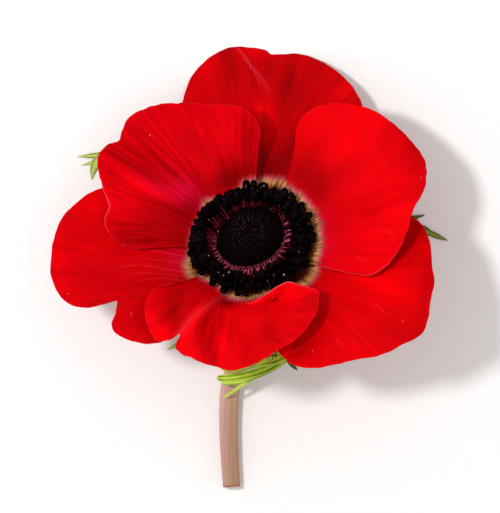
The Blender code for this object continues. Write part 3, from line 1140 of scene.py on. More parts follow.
@dataclass
class Stamens:
    """The ring of stamens, each a rosy filament with a dark two-lobed anther lying on its end.

    rows lists (count, radius, height) of the anthers that the rough form has, and between lists more of them.
    Each is off its place by up to turn and lean in azimuth, reach in radius and rise in height. Over the
    azimuths in bare no anther lies nearer than bare_reach, so that the filaments show there.
    """

    rows: tuple[Place, ...] = ((32, 12.6, 3.8), (28, 11.5, 5.2), (22, 10.4, 6.2))
    between: tuple[Place, ...] = (
        (34, 12.9, 2.9), (32, 12.0, 4.1), (30, 11.0, 5.0), (28, 12.4, 4.7), (30, 11.8, 3.1), (26, 10.4, 4.7),
    )
    foot_radius: float = 7.95
    foot_height: float = 0.9
    turn: float = 2.0
    lean: float = 5.0
    reach: float = 0.45
    rise: float = 0.5
    seed: int = 7
    anther_length: float = 2.8
    anther_radius: float = 0.78
    anther_spread: float = 0.5
    anther_sides: int = 14
    filament_radius: float = 0.14
    filament_rings: int = 11
    bare: tuple[float, float] = (128.0, 216.0)
    bare_reach: float = 11.3
    skin: StamenSkin = StamenSkin()

    def places(self, bloom: Bloom) -> tuple[np.ndarray, np.ndarray, np.ndarray]:
        """Where the stamens are.

        Args:
            bloom: the bloom's frame.

        Returns:
            Each one's foot, its anther's middle, and the way that the anther lies.
        """
        draw = random.Random(self.seed)
        found = []
        for k, (count, radius, height) in enumerate((*self.rows, *self.between)):
            row = k if k < len(self.rows) else k - len(self.rows) + 0.5
            for i in range(int(count)):
                azimuth = 360 * (i + 0.5 * row) / count + draw.uniform(-self.turn, self.turn)
                reach = radius + draw.uniform(-self.reach, self.reach)
                rise = height + draw.uniform(-self.rise, self.rise)
                lean = draw.uniform(-self.lean, self.lean)
                if self.bare[0] < azimuth < self.bare[1]:
                    reach = max(reach, self.bare_reach)
                found.append((azimuth, reach, rise, lean))
        azimuths, reaches, rises, leans = np.array(found).T
        feet = bloom.place(azimuths, self.foot_radius, self.foot_height)
        anthers = bloom.place(azimuths + leans, reaches, rises)
        lie = unit(unit(anthers - feet) + bloom.way(azimuths + 3 * leans) * self.anther_spread)
        return feet, anthers, lie

    def section(self) -> np.ndarray:
        """An anther's section: wide, with a groove above and one below.

        Returns:
            How far it reaches at each of its even turns, as a share of the anther's radius.
        """
        turns = 2 * math.pi * np.arange(self.anther_sides) / self.anther_sides
        aside = [(turns - way + math.pi) % (2 * math.pi) - math.pi for way in (math.pi / 2, 3 * math.pi / 2)]
        return (1 + 0.08 * np.cos(2 * turns)) * (1 - 0.26 * sum(hump(turn, 0, 0.36) for turn in aside))

    def build(self, bloom: Bloom) -> None:
        """Builds the filaments and anthers, dresses them and seats them.

        Args:
            bloom: the bloom's frame.
        """
        feet, anthers, lie = self.places(bloom)
        draw = np.random.default_rng(self.seed)
        count = len(feet)
        size = draw.uniform(0.72, 1.14, count)
        s = np.array([-0.5, -0.47, -0.4, -0.28, -0.12, 0.06, 0.22, 0.36, 0.45, 0.49])
        sag = bloom.axis * draw.uniform(-0.6, 0.3, count)[:, None]
        length = (s * self.anther_length)[None, :, None]
        lines = anthers[:, None] + lie[:, None] * length * size[:, None, None]
        lines = lines + sag[:, None] * (s**2)[None, :, None] * 2
        plump = (1 - np.abs(2 * s) ** 3.2) ** 0.42
        bodies = tubes(lines, self.anther_radius * size[:, None] * plump, bloom.axis, self.section())
        ends = lines[:, 0]
        elbow = feet + bloom.axis * draw.uniform(1.2, 2.6, count)[:, None] + (ends - feet) * 0.25
        elbow += np.cross(bloom.axis, unit(ends - feet)) * draw.uniform(-1.2, 1.2, count)[:, None]
        rings = self.filament_rings
        stalks = bend(feet, elbow, ends + lie * 0.25, rings)
        thin = np.broadcast_to(self.filament_radius * np.linspace(1.15, 0.8, rings), stalks.shape[:2])
        threads = tubes(stalks, thin, bloom.way(0) + 0.013, np.ones(6))
        tone = draw.uniform(0, 1, count)[:, None, None] ** 2
        fade = 1 - 0.75 * smooth_share(np.linspace(0, 1, rings), 0.35, 1.0)
        rosy = fade[None, :, None] * (draw.uniform(0.0, 1.0, count) ** 1.5)[:, None, None]
        parts = [
            (bodies, tube_faces(*bodies.shape[:3]), {"tip": tone, "blush": 0.0}),
            (threads, tube_faces(*threads.shape[:3]), {"tip": 0.0, "blush": rosy}),
        ]
        piece = add_piece("stamen_ring_anthers", parts, self.skin.material("stamen_skin"))
        seat(piece, "stamen_ring", "stamen_black")


@dataclass
class Stem:
    """The cut stem, with the receptacle at its upper end.

    receptacle lists (height, radius) down the bloom's axis, line the middle line from there to the cut, and
    cap (share of the cut's radius, depth into the stem) of the rings over the cut.
    """

    receptacle: tuple[tuple[float, float], ...] = (
        (0, 8.0), (-0.9, 7.8), (-1.5, 6.6), (-2.0, 6.0), (-3.2, 5.3), (-4.4, 3.9), (-5.6, 2.8), (-6.8, 2.35),
    )
    line: tuple[Place, ...] = (
        (2.35, -1.6, 6.5), (2.0, -6.0, 4.15), (0.6, -12.0, 2.8), (-2.0, -19.0, 2.5), (-4.1, -26.0, 2.4),
        (-4.6, -34.0, 2.25), (-4.35, -42.0, 2.1), (-3.9, -48.5, 1.95),
    )
    cap: tuple[tuple[float, float], ...] = (
        (0.96, -0.06), (0.88, 0.02), (0.8, 0.22), (0.4, 0.3), (0.05, 0.34),
    )
    neck_radius: float = 2.5
    cut_radius: float = 1.93
    step: float = 0.7
    neck_rings: int = 24
    seat_rings: int = 3
    pith_rings: int = 3
    sides: int = 56
    ribs: int = 11
    rib_depth: float = 0.035
    unround: float = 0.012
    skin: StemSkin = StemSkin()

    def surface(self, bloom: Bloom) -> tuple[np.ndarray, np.ndarray, np.ndarray]:
        """The stem's surface, one tube with a recessed cut.

        Args:
            bloom: the bloom's frame.

        Returns:
            Its points, as (ring, side, 3), how far along the free stem each ring lies, and how far to the
            right of the middle line each point does, as a share of the radius.
        """
        heights, radii = np.array(self.receptacle).T
        upper = bloom.place(0, 0, heights[-1])
        line = smooth_line([upper, *self.line], self.step)[1:]
        down = along(line) / along(line)[-1]
        stations = np.linspace(0, heights[-1], self.neck_rings)
        lines = np.concatenate([bloom.place(0, 0, stations), line])
        lower = self.neck_radius + (self.cut_radius - self.neck_radius) * down
        wide = np.concatenate([np.interp(-stations, -heights, radii), lower])
        turns = 2 * math.pi * np.arange(self.sides) / self.sides
        section = 1 - self.rib_depth * (0.5 + 0.5 * np.cos(self.ribs * turns))
        section = section - self.unround * np.cos(3 * turns + 1)
        points = tubes(lines[None], wide[None], np.array([1.0, 0.0, 0.0]), section)[0]
        side = (points[..., 0] - lines[:, None, 0]) / wide[:, None]
        end = points[-1]
        middle = end.mean(axis=0)
        inward = unit(lines[-2] - lines[-1])
        caps = [middle + (end - middle) * share + inward * deep for share, deep in self.cap]
        share = np.concatenate([np.zeros(self.neck_rings), down, np.ones(len(caps))])
        return np.concatenate([points, np.stack(caps)]), share[:, None], side

    def build(self, bloom: Bloom) -> None:
        """Builds the stem, dresses it and seats it.

        Args:
            bloom: the bloom's frame.
        """
        points, share, side = self.surface(bloom)
        over = np.zeros((len(self.cap), self.sides))
        ring = np.arange(len(points))[:, None]
        free = (ring >= self.neck_rings) & (ring < len(side))
        neck = np.where(ring < self.neck_rings, 0.8, 0.0)
        tones = {
            # The left side drawn lighter and pinker, partly painted light, and a painted highlight down the
            # right side.
            "blush": np.concatenate([0.85 * smooth_share(-side, 0.0, 0.85), over]),
            "sunned": np.concatenate([0.9 * hump(side, 0.6, 0.2), over]),
            # Darker towards the cut.
            "worn": 0.55 * smooth_share(share, 0.3, 0.95),
            "green": np.where(free, 0.6 * (1 - smooth_share(share, 0.0, 0.35)), neck),
            "browned": 0.85 * smooth_share(share, 0.985, 1.0),
            "pith": np.where(ring >= len(points) - self.pith_rings, 0.8, 0.0),
            "shaded": np.where(ring < self.seat_rings, 1.0, 0.0),
        }
        part = (points, tube_faces(1, *points.shape[:2]), tones)
        seat(add_piece("stem_skin", [part], self.skin.material("stem_downy_skin")), "stem", "stem_skin")


@dataclass(frozen=True)
class Leaflet:
    """One leaflet of a bract.

    line is its middle line from root to tip, tooth how toothed it is, and blunt how much of its half width
    is left at the tip. rim is how pale its rim is, edge how dark, and shade how dark the whole of it, and
    stripes how many light stripes run along it.
    """

    line: tuple[Place, ...]
    half_width: float
    tooth: float = 0.12
    blunt: float = 0.08
    rim: float = 0.6
    edge: float = 0.0
    shade: float = 0.0
    stripes: float = 1.0


@dataclass
class Bract:
    """A divided bract: ribbed leaflets that grow from one foot on the stem."""

    name: str
    leaflets: tuple[Leaflet, ...]
    skin: LeafSkin
    stain_at: Place | None = None
    stain_radius: float = 1.6
    step: float = 0.35
    spread: int = 19
    root_share: float = 0.45
    widest: float = 0.6
    channel: float = 0.15
    thick: float = 0.36
    rib_height: float = 0.09
    tooth_turn: float = 1.9

    def outline(self, leaf: Leaflet, line: np.ndarray) -> np.ndarray:
        """How wide a leaflet is.

        Args:
            leaf: the leaflet.
            line: its middle line's points.

        Returns:
            Half its width at each of them.
        """
        reach = along(line)
        s = reach / reach[-1]
        widening = np.sin(math.pi / 2 * np.minimum(1, s / self.widest))
        narrowing = 1 - (1 - leaf.blunt) * np.clip((s - self.widest) / (1 - self.widest), 0, 1)
        narrowing *= np.sqrt(1 - 0.96 * np.clip((s - 0.97) / 0.03, 0, 1) ** 2)
        teeth = 1 + leaf.tooth * np.sin(reach * self.tooth_turn) * smooth_share(s, 0.3, 0.6)
        return leaf.half_width * (self.root_share + (1 - self.root_share) * widening) * narrowing * teeth

    def leaflet(self, leaf: Leaflet) -> Part:
        """Builds one leaflet.

        Args:
            leaf: the leaflet.

        Returns:
            Its part, with how pale, striped, dark and stained its points are.
        """
        line = smooth_line(leaf.line, self.step)
        wide = self.outline(leaf, line)[:, None]
        ways = unit(np.gradient(line, axis=0))
        side = unit(np.cross(ways, (0, 0, 1)))[:, None]
        up = np.cross(side, ways[:, None])
        t = np.linspace(-1, 1, self.spread)
        ribs = 0.5 + 0.5 * np.cos(math.pi * leaf.stripes * t)
        height = self.rib_height * ribs * np.minimum(1, wide / 1.2) - self.channel * wide * (1 - np.abs(t))
        sheet = line[:, None] + side * (wide * t)[..., None] + up * height[..., None]
        half = self.thick / 2 * (1 - 0.6 * np.abs(t) ** 3) * np.minimum(1, wide / 0.7 + 0.25)
        sides = both_sides(sheet, up, half)
        tones = {
            "rib": np.maximum(0.15 * ribs**3, leaf.rim * np.abs(t) ** 8),
            "stripe": 0.25 + 0.65 * ribs,
            "shade": np.maximum(leaf.edge * np.abs(t) ** 3, leaf.shade),
            "stain": 0.0,
        }
        if self.stain_at:
            away = np.linalg.norm(sides - np.array(self.stain_at), axis=-1)
            tones["stain"] = hump(away, 0, self.stain_radius)
        return sides, blade_faces(*sides.shape[1:3], True), tones

    def build(self, bloom: Bloom) -> None:
        """Builds the bract's leaflets as one piece, dresses it and seats it.

        Args:
            bloom: the bloom's frame.
        """
        parts = [self.leaflet(leaf) for leaf in self.leaflets]
        piece = add_piece(f"{self.name}_leaf", parts, self.skin.material(f"{self.name}_skin"))
        seat(piece, self.name, "bract_green")


@dataclass
class Studio:
    """The pale floor, the lights and the camera that looks down on the flower."""

    card: PaleCard = PaleCard()
    floor_size: float = 3.0
    key_from: Place = (-0.78, 0.24, 2.0)
    key_distance: float = 1.0
    key_size: float = 0.11
    key_power: float = 4.6
    sky: float = 0.74
    view_centre: tuple[float, float] = (0.2, 2.74)
    view_width: float = 111.25
    view_plane: float = 7.0
    camera_distance: float = 4.0
    sensor: float = 36.0

    def floor(self) -> None:
        """Adds the floor, a matt sheet of pale card."""
        half = self.floor_size / 2 / MM
        corners = np.array([(-half, -half, 0), (half, -half, 0), (half, half, 0), (-half, half, 0)], float)
        add_piece("floor", [(corners, [[0, 1, 2, 3]], {})], self.card.material("pale_card"))

    def lights(self) -> None:
        """Adds a soft key light from the upper left and an even sky."""
        lamp = bpy.data.lights.new("key", "AREA")
        lamp.shape = "DISK"
        lamp.size = self.key_size
        lamp.energy = self.key_power
        key = bpy.data.objects.new("key", lamp)
        away = Vector(self.key_from).normalized()
        key.location = away * self.key_distance
        key.rotation_mode = "QUATERNION"
        key.rotation_quaternion = away.to_track_quat("Z", "Y")
        bpy.context.scene.collection.objects.link(key)
        world = bpy.data.worlds.new("sky")
        world.use_nodes = True
        ground = world.node_tree.nodes["Background"]
        ground.inputs["Color"].default_value = (1.0, 1.0, 1.0, 1.0)
        ground.inputs["Strength"].default_value = self.sky
        bpy.context.scene.world = world

    def camera(self) -> None:
        """Adds the camera, straight above and so far off that there is hardly any perspective."""
        lens = bpy.data.cameras.new("camera")
        lens.sensor_fit = "HORIZONTAL"
        lens.sensor_width = self.sensor
        lens.lens = self.sensor * self.camera_distance / (self.view_width * MM)
        lens.clip_start = 0.1
        lens.clip_end = 2 * self.camera_distance
        camera = bpy.data.objects.new("camera", lens)
        x, y = self.view_centre
        camera.location = (x * MM, y * MM, self.view_plane * MM + self.camera_distance)
        bpy.context.scene.collection.objects.link(camera)
        bpy.context.scene.camera = camera
        bpy.context.scene.view_settings.view_transform = "Standard"

    def build(self) -> None:
        """Builds the studio."""
        self.floor()
        self.lights()
        self.camera()


# Each petal's skin has its own deep and bright reds. Besides small real differences between the petals, these
# are set darker or brighter as painted light and shade for how the key light falls on each petal, and the top
# petal's are darkest, as painted shade. The petals' patches are painted light and shade as well.
PETALS = (
    Petal(
        "petal_top", Whorl.OUTER, facing=84, half_root=30, bow=0.55, seed=11.0,
        skin=PetalSkin(seed=1.3, deep="8E0004", bright="C80006"),
        margin=(
            (38, 26, 2.5), (44, 35, 4.5), (51, 40.2, 6), (60, 43.4, 7), (68, 45.2, 7.0), (76, 46.3, 6.6),
            (82.4, 45.9, 6.4), (83.7, 46.0, 6.4), (85.2, 47.0, 6.5), (88, 47.8, 6.6), (93, 48.3, 6.8),
            (99, 47.1, 7), (105, 44.3, 7.4), (112, 38.7, 7.5), (118, 32.8, 6), (123, 26, 3.5),
        ),
        folds=((-0.15, 0.16, 0.9), (0.12, 0.12, -0.9), (0.45, 0.2, 0.8)),
        creases=(
            Crease(((-2.7, 49.4), (-0.7, 46.9), (1.4, 44.2), (2.9, 42.7), (4.4, 40.5)), 0.11, 0.5, 0.08),
            Crease(((0.0, 45.4), (1.9, 43.0), (3.3, 41.2), (4.6, 38.8)), 0.09, 0.4, 0.04),
            Crease(((-1.2, 47.0), (0.9, 43.8), (2.2, 41.4), (3.2, 38.6)), 0.08, 0.3, 0.04),
            Crease(((1.4, 44.2), (4.0, 41.4), (5.4, 38.0)), 0.07, 0.25, 0.03),
        ),
        patches=(
            (0.6, 48.5, 4.0, 1.2, 0.25), (-10.3, 40.9, 2.2, 5.0, 0.15), (-9.5, 45.5, 2.5, 3.0, 0.15),
            (-4.3, 42.5, 1.0, 4.0, 0.2), (-0.7, 39.2, 1.3, 4.5, 0.25), (5.0, 45.2, 1.6, 3.0, -0.2),
            (15.4, 42.5, 1.8, 4.5, 0.2), (4.8, 28.5, 1.2, 3.0, 0.25), (-2.8, 39.6, 1.9, 6.0, 0.35),
            (-12.4, 37.6, 2.2, 3.0, 0.15), (2.9, 40.2, 1.3, 3.0, 0.2), (8.4, 41.8, 2.0, 6.0, -0.45),
            (2.4, 34.4, 2.2, 2.4, 0.65), (4.4, 31.2, 1.6, 3.6, 0.5), (6.6, 34.8, 1.6, 1.8, -0.1),
            (8.4, 25.4, 1.8, 6.0, -0.28), (4.6, 22.5, 1.6, 3.0, -0.24), (12.2, 28.0, 2.6, 4.5, -0.15),
            (22.6, 38.8, 2.6, 2.6, 0.35), (18.2, 34.1, 1.6, 4.0, 0.2),
        ),
        ring_shift=-2.4,
        fan_height=0.3,
    ),
    Petal(
        "petal_left", Whorl.OUTER, facing=196, half_root=30, bow=0.5, seed=23.0,
        skin=PetalSkin(seed=4.1, deep="B00006", bright="DC0009"),
        margin=(
            (146, 23, 2.5), (151, 31.0, 5.5), (159, 36.3, 8.5), (167, 39.8, 10), (174, 42.0, 10.5),
            (181, 43.1, 11), (188, 44, 11.5), (195, 44.7, 11.5), (201.5, 43.9, 11.5), (206.0, 41.8, 11),
            (208.5, 38.3, 10.5), (209.5, 33.6, 9), (213.6, 35.3, 9.5), (217.2, 38.0, 10), (222, 38.4, 10),
            (228, 36.4, 8.4), (231.5, 33.0, 5.4), (229.7, 24.0, 1.2),
        ),
        folds=((-0.25, 0.16, 1.0), (0.05, 0.1, -0.8), (0.3, 0.12, 0.8)),
        creases=(
            Crease((
                (-13.7, -0.6), (-18.5, -0.2), (-22.1, 0.6), (-25.8, 0.7), (-30.6, -0.1),
            ), 0.07, 0.3, 0.06),
            Crease(((-13.7, 2.6), (-17.3, 3.2), (-20.9, 4.0), (-24.8, 4.2), (-27.0, 4.2)), 0.07, 0.25, 0.06),
            Crease((
                (-12.3, -3.8), (-15.0, -2.7), (-18.5, -2.2), (-21.9, -2.4), (-25.8, -2.7),
            ), 0.07, 0.22, 0.05),
            Crease(((-13.4, 1.2), (-17.5, 1.6), (-21.5, 2.0), (-26.0, 2.1)), 0.07, 0.2, 0.05),
            Crease(((-13.2, -2.0), (-17.5, -1.4), (-22.5, -1.0), (-28.5, -1.6)), 0.07, 0.2, 0.05),
        ),
        patches=(
            (-21.8, 3.3, 1.7, 7.0, 0.5), (-32.5, -2.8, 2.4, 8.0, -0.12), (-33.0, 0.2, 2.6, 8.0, -0.14),
            (-30.0, 5.3, 1.5, 4.0, 0.25), (-23.5, 4.1, 1.2, 3.0, 0.3), (-25.3, -1.0, 1.2, 4.0, 0.15),
            (-42.0, -3.5, 4.0, 1.8, 0.2), (-37.5, -8.5, 3.0, 1.6, 0.15), (-33.6, 14.2, 2.2, 3.0, 0.4),
            (-42.1, 5.3, 5.0, 1.3, 0.15),
        ),
        flushed=((-15.6, 2.6, 3.2, 3.0, 0.5),),
        ring_shift=-0.8,
        fan_height=0.35,
    ),
    Petal(
        "petal_lower_right", Whorl.OUTER, facing=324, half_root=30, bow=0.5, seed=37.0,
        skin=PetalSkin(seed=7.7, bright="E00006"),
        margin=(
            (279, 24, 3), (282.5, 32.3, 5.5), (287, 37.2, 7), (292, 39.2, 7), (302, 41.9, 7),
            (310.5, 45.5, 7), (316, 47.0, 7), (323, 48.9, 7), (327, 47.8, 7), (332, 46.0, 7),
            (338.3, 44.7, 7), (343.4, 42.9, 7), (350, 41.4, 7), (355.4, 39.7, 6.6), (361, 37.0, 5.6),
            (369, 32, 3.6), (376, 25, 1.0),
        ),
        folds=((-0.3, 0.2, 0.8), (0.1, 0.2, -0.7), (0.5, 0.2, 0.6)),
        creases=(
            Crease(((28.0, -7.9), (29.4, -9.2), (30.6, -10.4)), 0.07, 0.22, 0.03),
            Crease(((19.5, -16.0), (20.4, -16.9), (21.0, -17.6)), 0.08, 0.25, 0.03),
        ),
        patches=(
            (24.0, -9.0, 6.0, 9.0, 0.12), (25.5, -2.2, 1.7, 8.5, 0.4), (24.5, 0.4, 2.0, 8.0, 0.2),
            (16.9, -4.9, 4.0, 4.0, 0.2), (20.8, -6.0, 4.0, 4.0, 0.1), (21.0, -12.0, 2.4, 4.0, 0.1),
            (38.6, 8.4, 2.0, 1.6, -0.4), (39.8, -3.6, 12.0, 1.8, -0.2), (11.0, -18.4, 3.0, 2.0, -0.3),
            (9.2, -16.6, 2.6, 0.9, 0.45), (8.2, -18.1, 1.5, 0.9, 0.6), (12.2, -14.2, 2.0, 1.1, 0.5),
        ),
        ring_shift=-0.4,
        fan_height=0.28,
    ),
    Petal(
        "petal_upper_left", Whorl.INNER, facing=132, half_root=44, bow=0.45, seed=41.0,
        skin=PetalSkin(seed=11.9, deep="9C0006", bright="DE000C", veined=0.5),
        margin=(
            (82.3, 22, 10), (82.7, 24.4, 12), (85.3, 25.8, 13.5), (90.6, 27.2, 15.5), (98, 27.9, 16),
            (108, 29.9, 16), (119, 33.7, 16), (127, 36.1, 16), (134, 36.7, 16), (139.6, 35.6, 15.5),
            (142.2, 35.0, 15), (146, 36.8, 15), (150, 37.3, 15), (156, 35.6, 14.2), (163, 33, 13.6),
            (170, 30.8, 13), (176, 31.5, 13), (181, 30.6, 11.8), (184.5, 28.5, 9.6), (185.4, 25, 7.4),
        ),
        folds=((-0.55, 0.12, 0.7), (-0.2, 0.09, -0.7), (0.05, 0.1, 0.9), (0.3, 0.09, -0.9), (0.62, 0.2, 0.9)),
        ripples=(
            (-0.62, 0.035, 0.4), (-0.5, 0.03, -0.3), (-0.35, 0.04, 0.3), (-0.1, 0.035, 0.35),
            (0.0, 0.03, -0.35), (0.11, 0.035, 0.4), (0.19, 0.025, -0.6), (0.27, 0.04, 0.45),
            (0.36, 0.03, -0.3),
        ),
        rims=((0.6, 0.14, 0.55),),
        patches=(
            (-5.1, 31.3, 1.8, 6.5, 0.08), (-0.2, 28.0, 1.8, 8.0, -0.15), (0.9, 29.8, 1.2, 4.0, -0.25),
            (-9.2, 26.5, 0.9, 7.0, 0.25), (-21.6, 22.5, 1.4, 4.0, -0.25), (-22.5, 27.2, 0.9, 4.0, 0.15),
            (-24.0, 32.5, 2.5, 2.0, -0.15), (-16.3, 26.2, 1.0, 3.0, 0.12), (-18.5, 17.5, 1.2, 5.0, 0.15),
            (-17.0, 27.8, 1.3, 7.0, 0.3), (-10.6, 23.8, 1.7, 7.0, 0.3), (-13.4, 30.6, 1.4, 3.5, -0.22),
            (-14.6, 24.6, 0.6, 5.5, -0.25), (-24.6, 26.8, 0.9, 5.0, 0.2), (-19.4, 23.6, 0.6, 5.5, -0.35),
            (-25.3, 22.4, 0.8, 7.0, -0.4), (-32.5, 21.8, 2.0, 2.6, 0.2), (-23.0, 17.2, 2.0, 9.0, 0.4),
            (-31.6, 15.0, 3.0, 5.0, 0.35), (-24.4, 6.4, 1.3, 7.5, -0.35), (-22.5, 5.7, 0.8, 4.5, -0.2),
            (-28.4, 17.3, 1.5, 2.5, 0.15), (-28.6, 9.4, 2.2, 2.4, -0.2), (-18.5, 13.8, 1.8, 6.0, -0.25),
            (-3.8, 20.9, 4.5, 2.6, -0.35), (-6.6, 18.8, 2.2, 2.0, -0.3), (-15.0, 21.5, 1.4, 4.5, 0.15),
            (-8.6, 21.4, 1.0, 4.5, 0.25), (-11.4, 27.4, 1.2, 4.0, -0.15), (-13.4, 14.0, 2.2, 2.2, -0.35),
            (-17.0, 9.5, 2.6, 4.0, -0.15),
        ),
        flushed=((-14.5, 17.2, 2.6, 4.0, 0.8), (-20.5, 18.4, 2.2, 4.5, 0.3)),
        ring_shift=-0.3,
        fan_count=15.0,
        fan_height=0.9,
    ),
    Petal(
        "petal_upper_right", Whorl.INNER, facing=18, half_root=42, bow=0.45, seed=53.0,
        skin=PetalSkin(seed=16.4, deep="C80008", bright="E80009"),
        margin=(
            (-28.1, 25.8, 5.6), (-26.2, 29.7, 5.8), (-22.4, 32.1, 6.2), (-17.7, 34.6, 8.7),
            (-12.1, 36.5, 11.8), (-2.4, 38.0, 12.6), (5.0, 40.3, 12.4), (9.7, 41.3, 12.1), (14.5, 41.8, 12),
            (19, 41.7, 12.5), (25, 40.7, 13), (32, 39.4, 13.5), (39, 38, 14), (47, 35.4, 14.5),
            (54, 32.8, 14.5), (58.3, 31, 14), (61.8, 28.6, 13), (63.5, 25.4, 11),
        ),
        folds=((-0.35, 0.18, 0.8), (0.05, 0.16, -0.9), (0.5, 0.25, 0.9)),
        rims=((-0.85, 0.2, 0.35),),
        creases=(
            Crease(((29.8, 8.6), (31.3, 7.9), (32.1, 6.8), (31.6, 5.8)), 0.06, 0.25, 0.03),
            Crease(((24.4, 2.4), (26.2, 1.4)), 0.06, 0.25, 0.03),
            Crease(((24.9, 1.2), (25.9, 0.8)), 0.06, 0.2, 0.03),
        ),
        patches=(
            (14.0, 20.2, 4.0, 4.0, -0.35), (13.2, 25.4, 2.4, 4.5, -0.15), (8.6, 25.0, 1.6, 5.0, -0.2),
            (18.4, 20.6, 2.2, 6.0, -0.1), (10.2, 21.3, 2.4, 2.4, -0.2), (16.3, 16.1, 2.4, 2.4, -0.2),
            (18.8, 33.0, 2.2, 5.0, 0.2), (22.2, 37.6, 2.6, 1.6, 0.3), (27.5, 12.6, 1.6, 4.0, -0.15),
            (37.0, 22.0, 3.5, 2.5, -0.2), (16.0, 35.0, 2.0, 4.0, 0.12), (30.5, 19.5, 2.5, 7.0, 0.1),
            (33.5, 31.0, 6.0, 1.5, -0.15), (23.3, 9.7, 2.5, 3.0, 0.12), (32.0, 12.5, 2.0, 3.5, 0.12),
            (38.0, 26.4, 9.0, 2.2, -0.22), (33.6, 26.4, 6.0, 5.0, -0.1), (22.0, 27.5, 3.0, 7.0, 0.08),
        ),
        flushed=((17.0, 7.0, 6.0, 1.8, 0.4),),
        fan_height=0.25,
    ),
    Petal(
        "petal_front", Whorl.INNER, facing=252, half_root=44, bow=0.5, seed=67.0,
        skin=PetalSkin(seed=21.2, deep="B20006", bright="E8000A"),
        margin=(
            (214, 20, 6.4), (212.4, 25, 8), (219, 29.5, 9), (226.4, 32.2, 9), (234, 33.9, 9),
            (237.2, 32.3, 8.6), (238.2, 31.0, 8.3), (239.2, 30.0, 8), (240.5, 31.6, 8.2), (241.2, 33.4, 8.6),
            (244.6, 34.6, 9.2), (249.3, 35.1, 10), (257, 36.3, 10.6), (265, 37.5, 11), (273, 35.8, 10),
            (281, 33.6, 9.4), (289.1, 32.1, 8.9), (298.5, 29.5, 8.3), (305.9, 26.6, 7.3), (310.3, 24.4, 6.5),
            (313.2, 22.9, 5.9), (314.2, 22.1, 5.7), (313.1, 21.1, 5.8), (309.1, 18.7, 6.2),
            (302.7, 16.1, 6.6), (296, 15.8, 6.7), (289.6, 15.8, 6.3), (281, 15.9, 5.0), (275, 15.7, 3.6),
            (269, 15.6, 2.3), (262, 15.0, 1.3),
        ),
        folds=((-0.45, 0.2, 0.5), (-0.1, 0.14, -1.0), (0.3, 0.25, 0.8)),
        ripples=(
            (-0.66, 0.1, 0.7), (-0.44, 0.05, -1.5), (-0.33, 0.06, 1.3), (-0.15, 0.045, -1.1),
            (-0.06, 0.05, 0.8), (0.05, 0.04, -0.3), (0.15, 0.05, 0.3),
        ),
        rims=((0.78, 0.14, 0.75),),
        smooth_from=0.4,
        creases=(
            Crease((
                (-15.2, -14.6), (-13.0, -11.7), (-9.9, -8.65), (-6.8, -6.8), (-5.1, -6.1),
            ), 0.8, 0.16, 0.25, 1.0),
            Crease((
                (-6.5, -9.2), (-6.9, -12.7), (-6.8, -16.9), (-6.25, -19.8), (-5.6, -21.6),
            ), 0.35, 0.0, 0.4),
        ),
        patches=(
            (-21.4, -10.9, 4.5, 1.4, 0.15), (-17.0, -8.6, 2.3, 3.8, -0.5), (-3.4, -6.9, 1.9, 1.8, -0.65),
            (-19.3, -14.2, 2.4, 2.0, 0.3), (-14.1, -14.4, 1.3, 4.5, 0.5), (-10.7, -9.4, 1.0, 4.0, 0.4),
            (-10.6, -12.6, 1.4, 3.6, -0.28), (-9.5, -16.6, 1.6, 2.6, -0.3), (-7.3, -19.2, 0.9, 2.4, -0.35),
            (-9.3, -20.0, 2.0, 1.0, 0.2), (-14.4, -15.8, 1.2, 2.0, 0.3), (-5.3, -7.6, 2.0, 1.0, -0.45),
            (-1.6, -8.6, 2.0, 1.0, 0.2), (-2.6, -11.2, 0.9, 3.0, -0.15), (2.2, -12.8, 2.0, 3.0, 0.12),
            (3.6, -17.4, 1.8, 2.5, -0.15), (-11.8, -12.0, 0.9, 3.0, -0.15), (-12.0, -18.2, 2.0, 3.0, 0.3),
            (-17.0, -5.0, 1.6, 5.5, -0.25), (-19.2, -8.6, 1.2, 3.5, 0.1), (6.1, -15.6, 3.0, 3.5, -0.22),
            (-0.8, -16.4, 1.2, 3.5, -0.2), (-16.2, -11.6, 1.8, 2.2, -0.2), (-14.2, -18.6, 2.6, 1.8, 0.4),
            (-5.1, -13.6, 1.2, 8.0, 0.3), (-2.6, -10.4, 4.0, 2.6, 0.3), (2.9, -6.5, 5.0, 2.0, 0.25),
            (10.2, -8.1, 5.0, 4.0, 0.12),
        ),
        ring_shift=1.3,
        fan_height=0.45,
        swing=0.75,
    ),
)

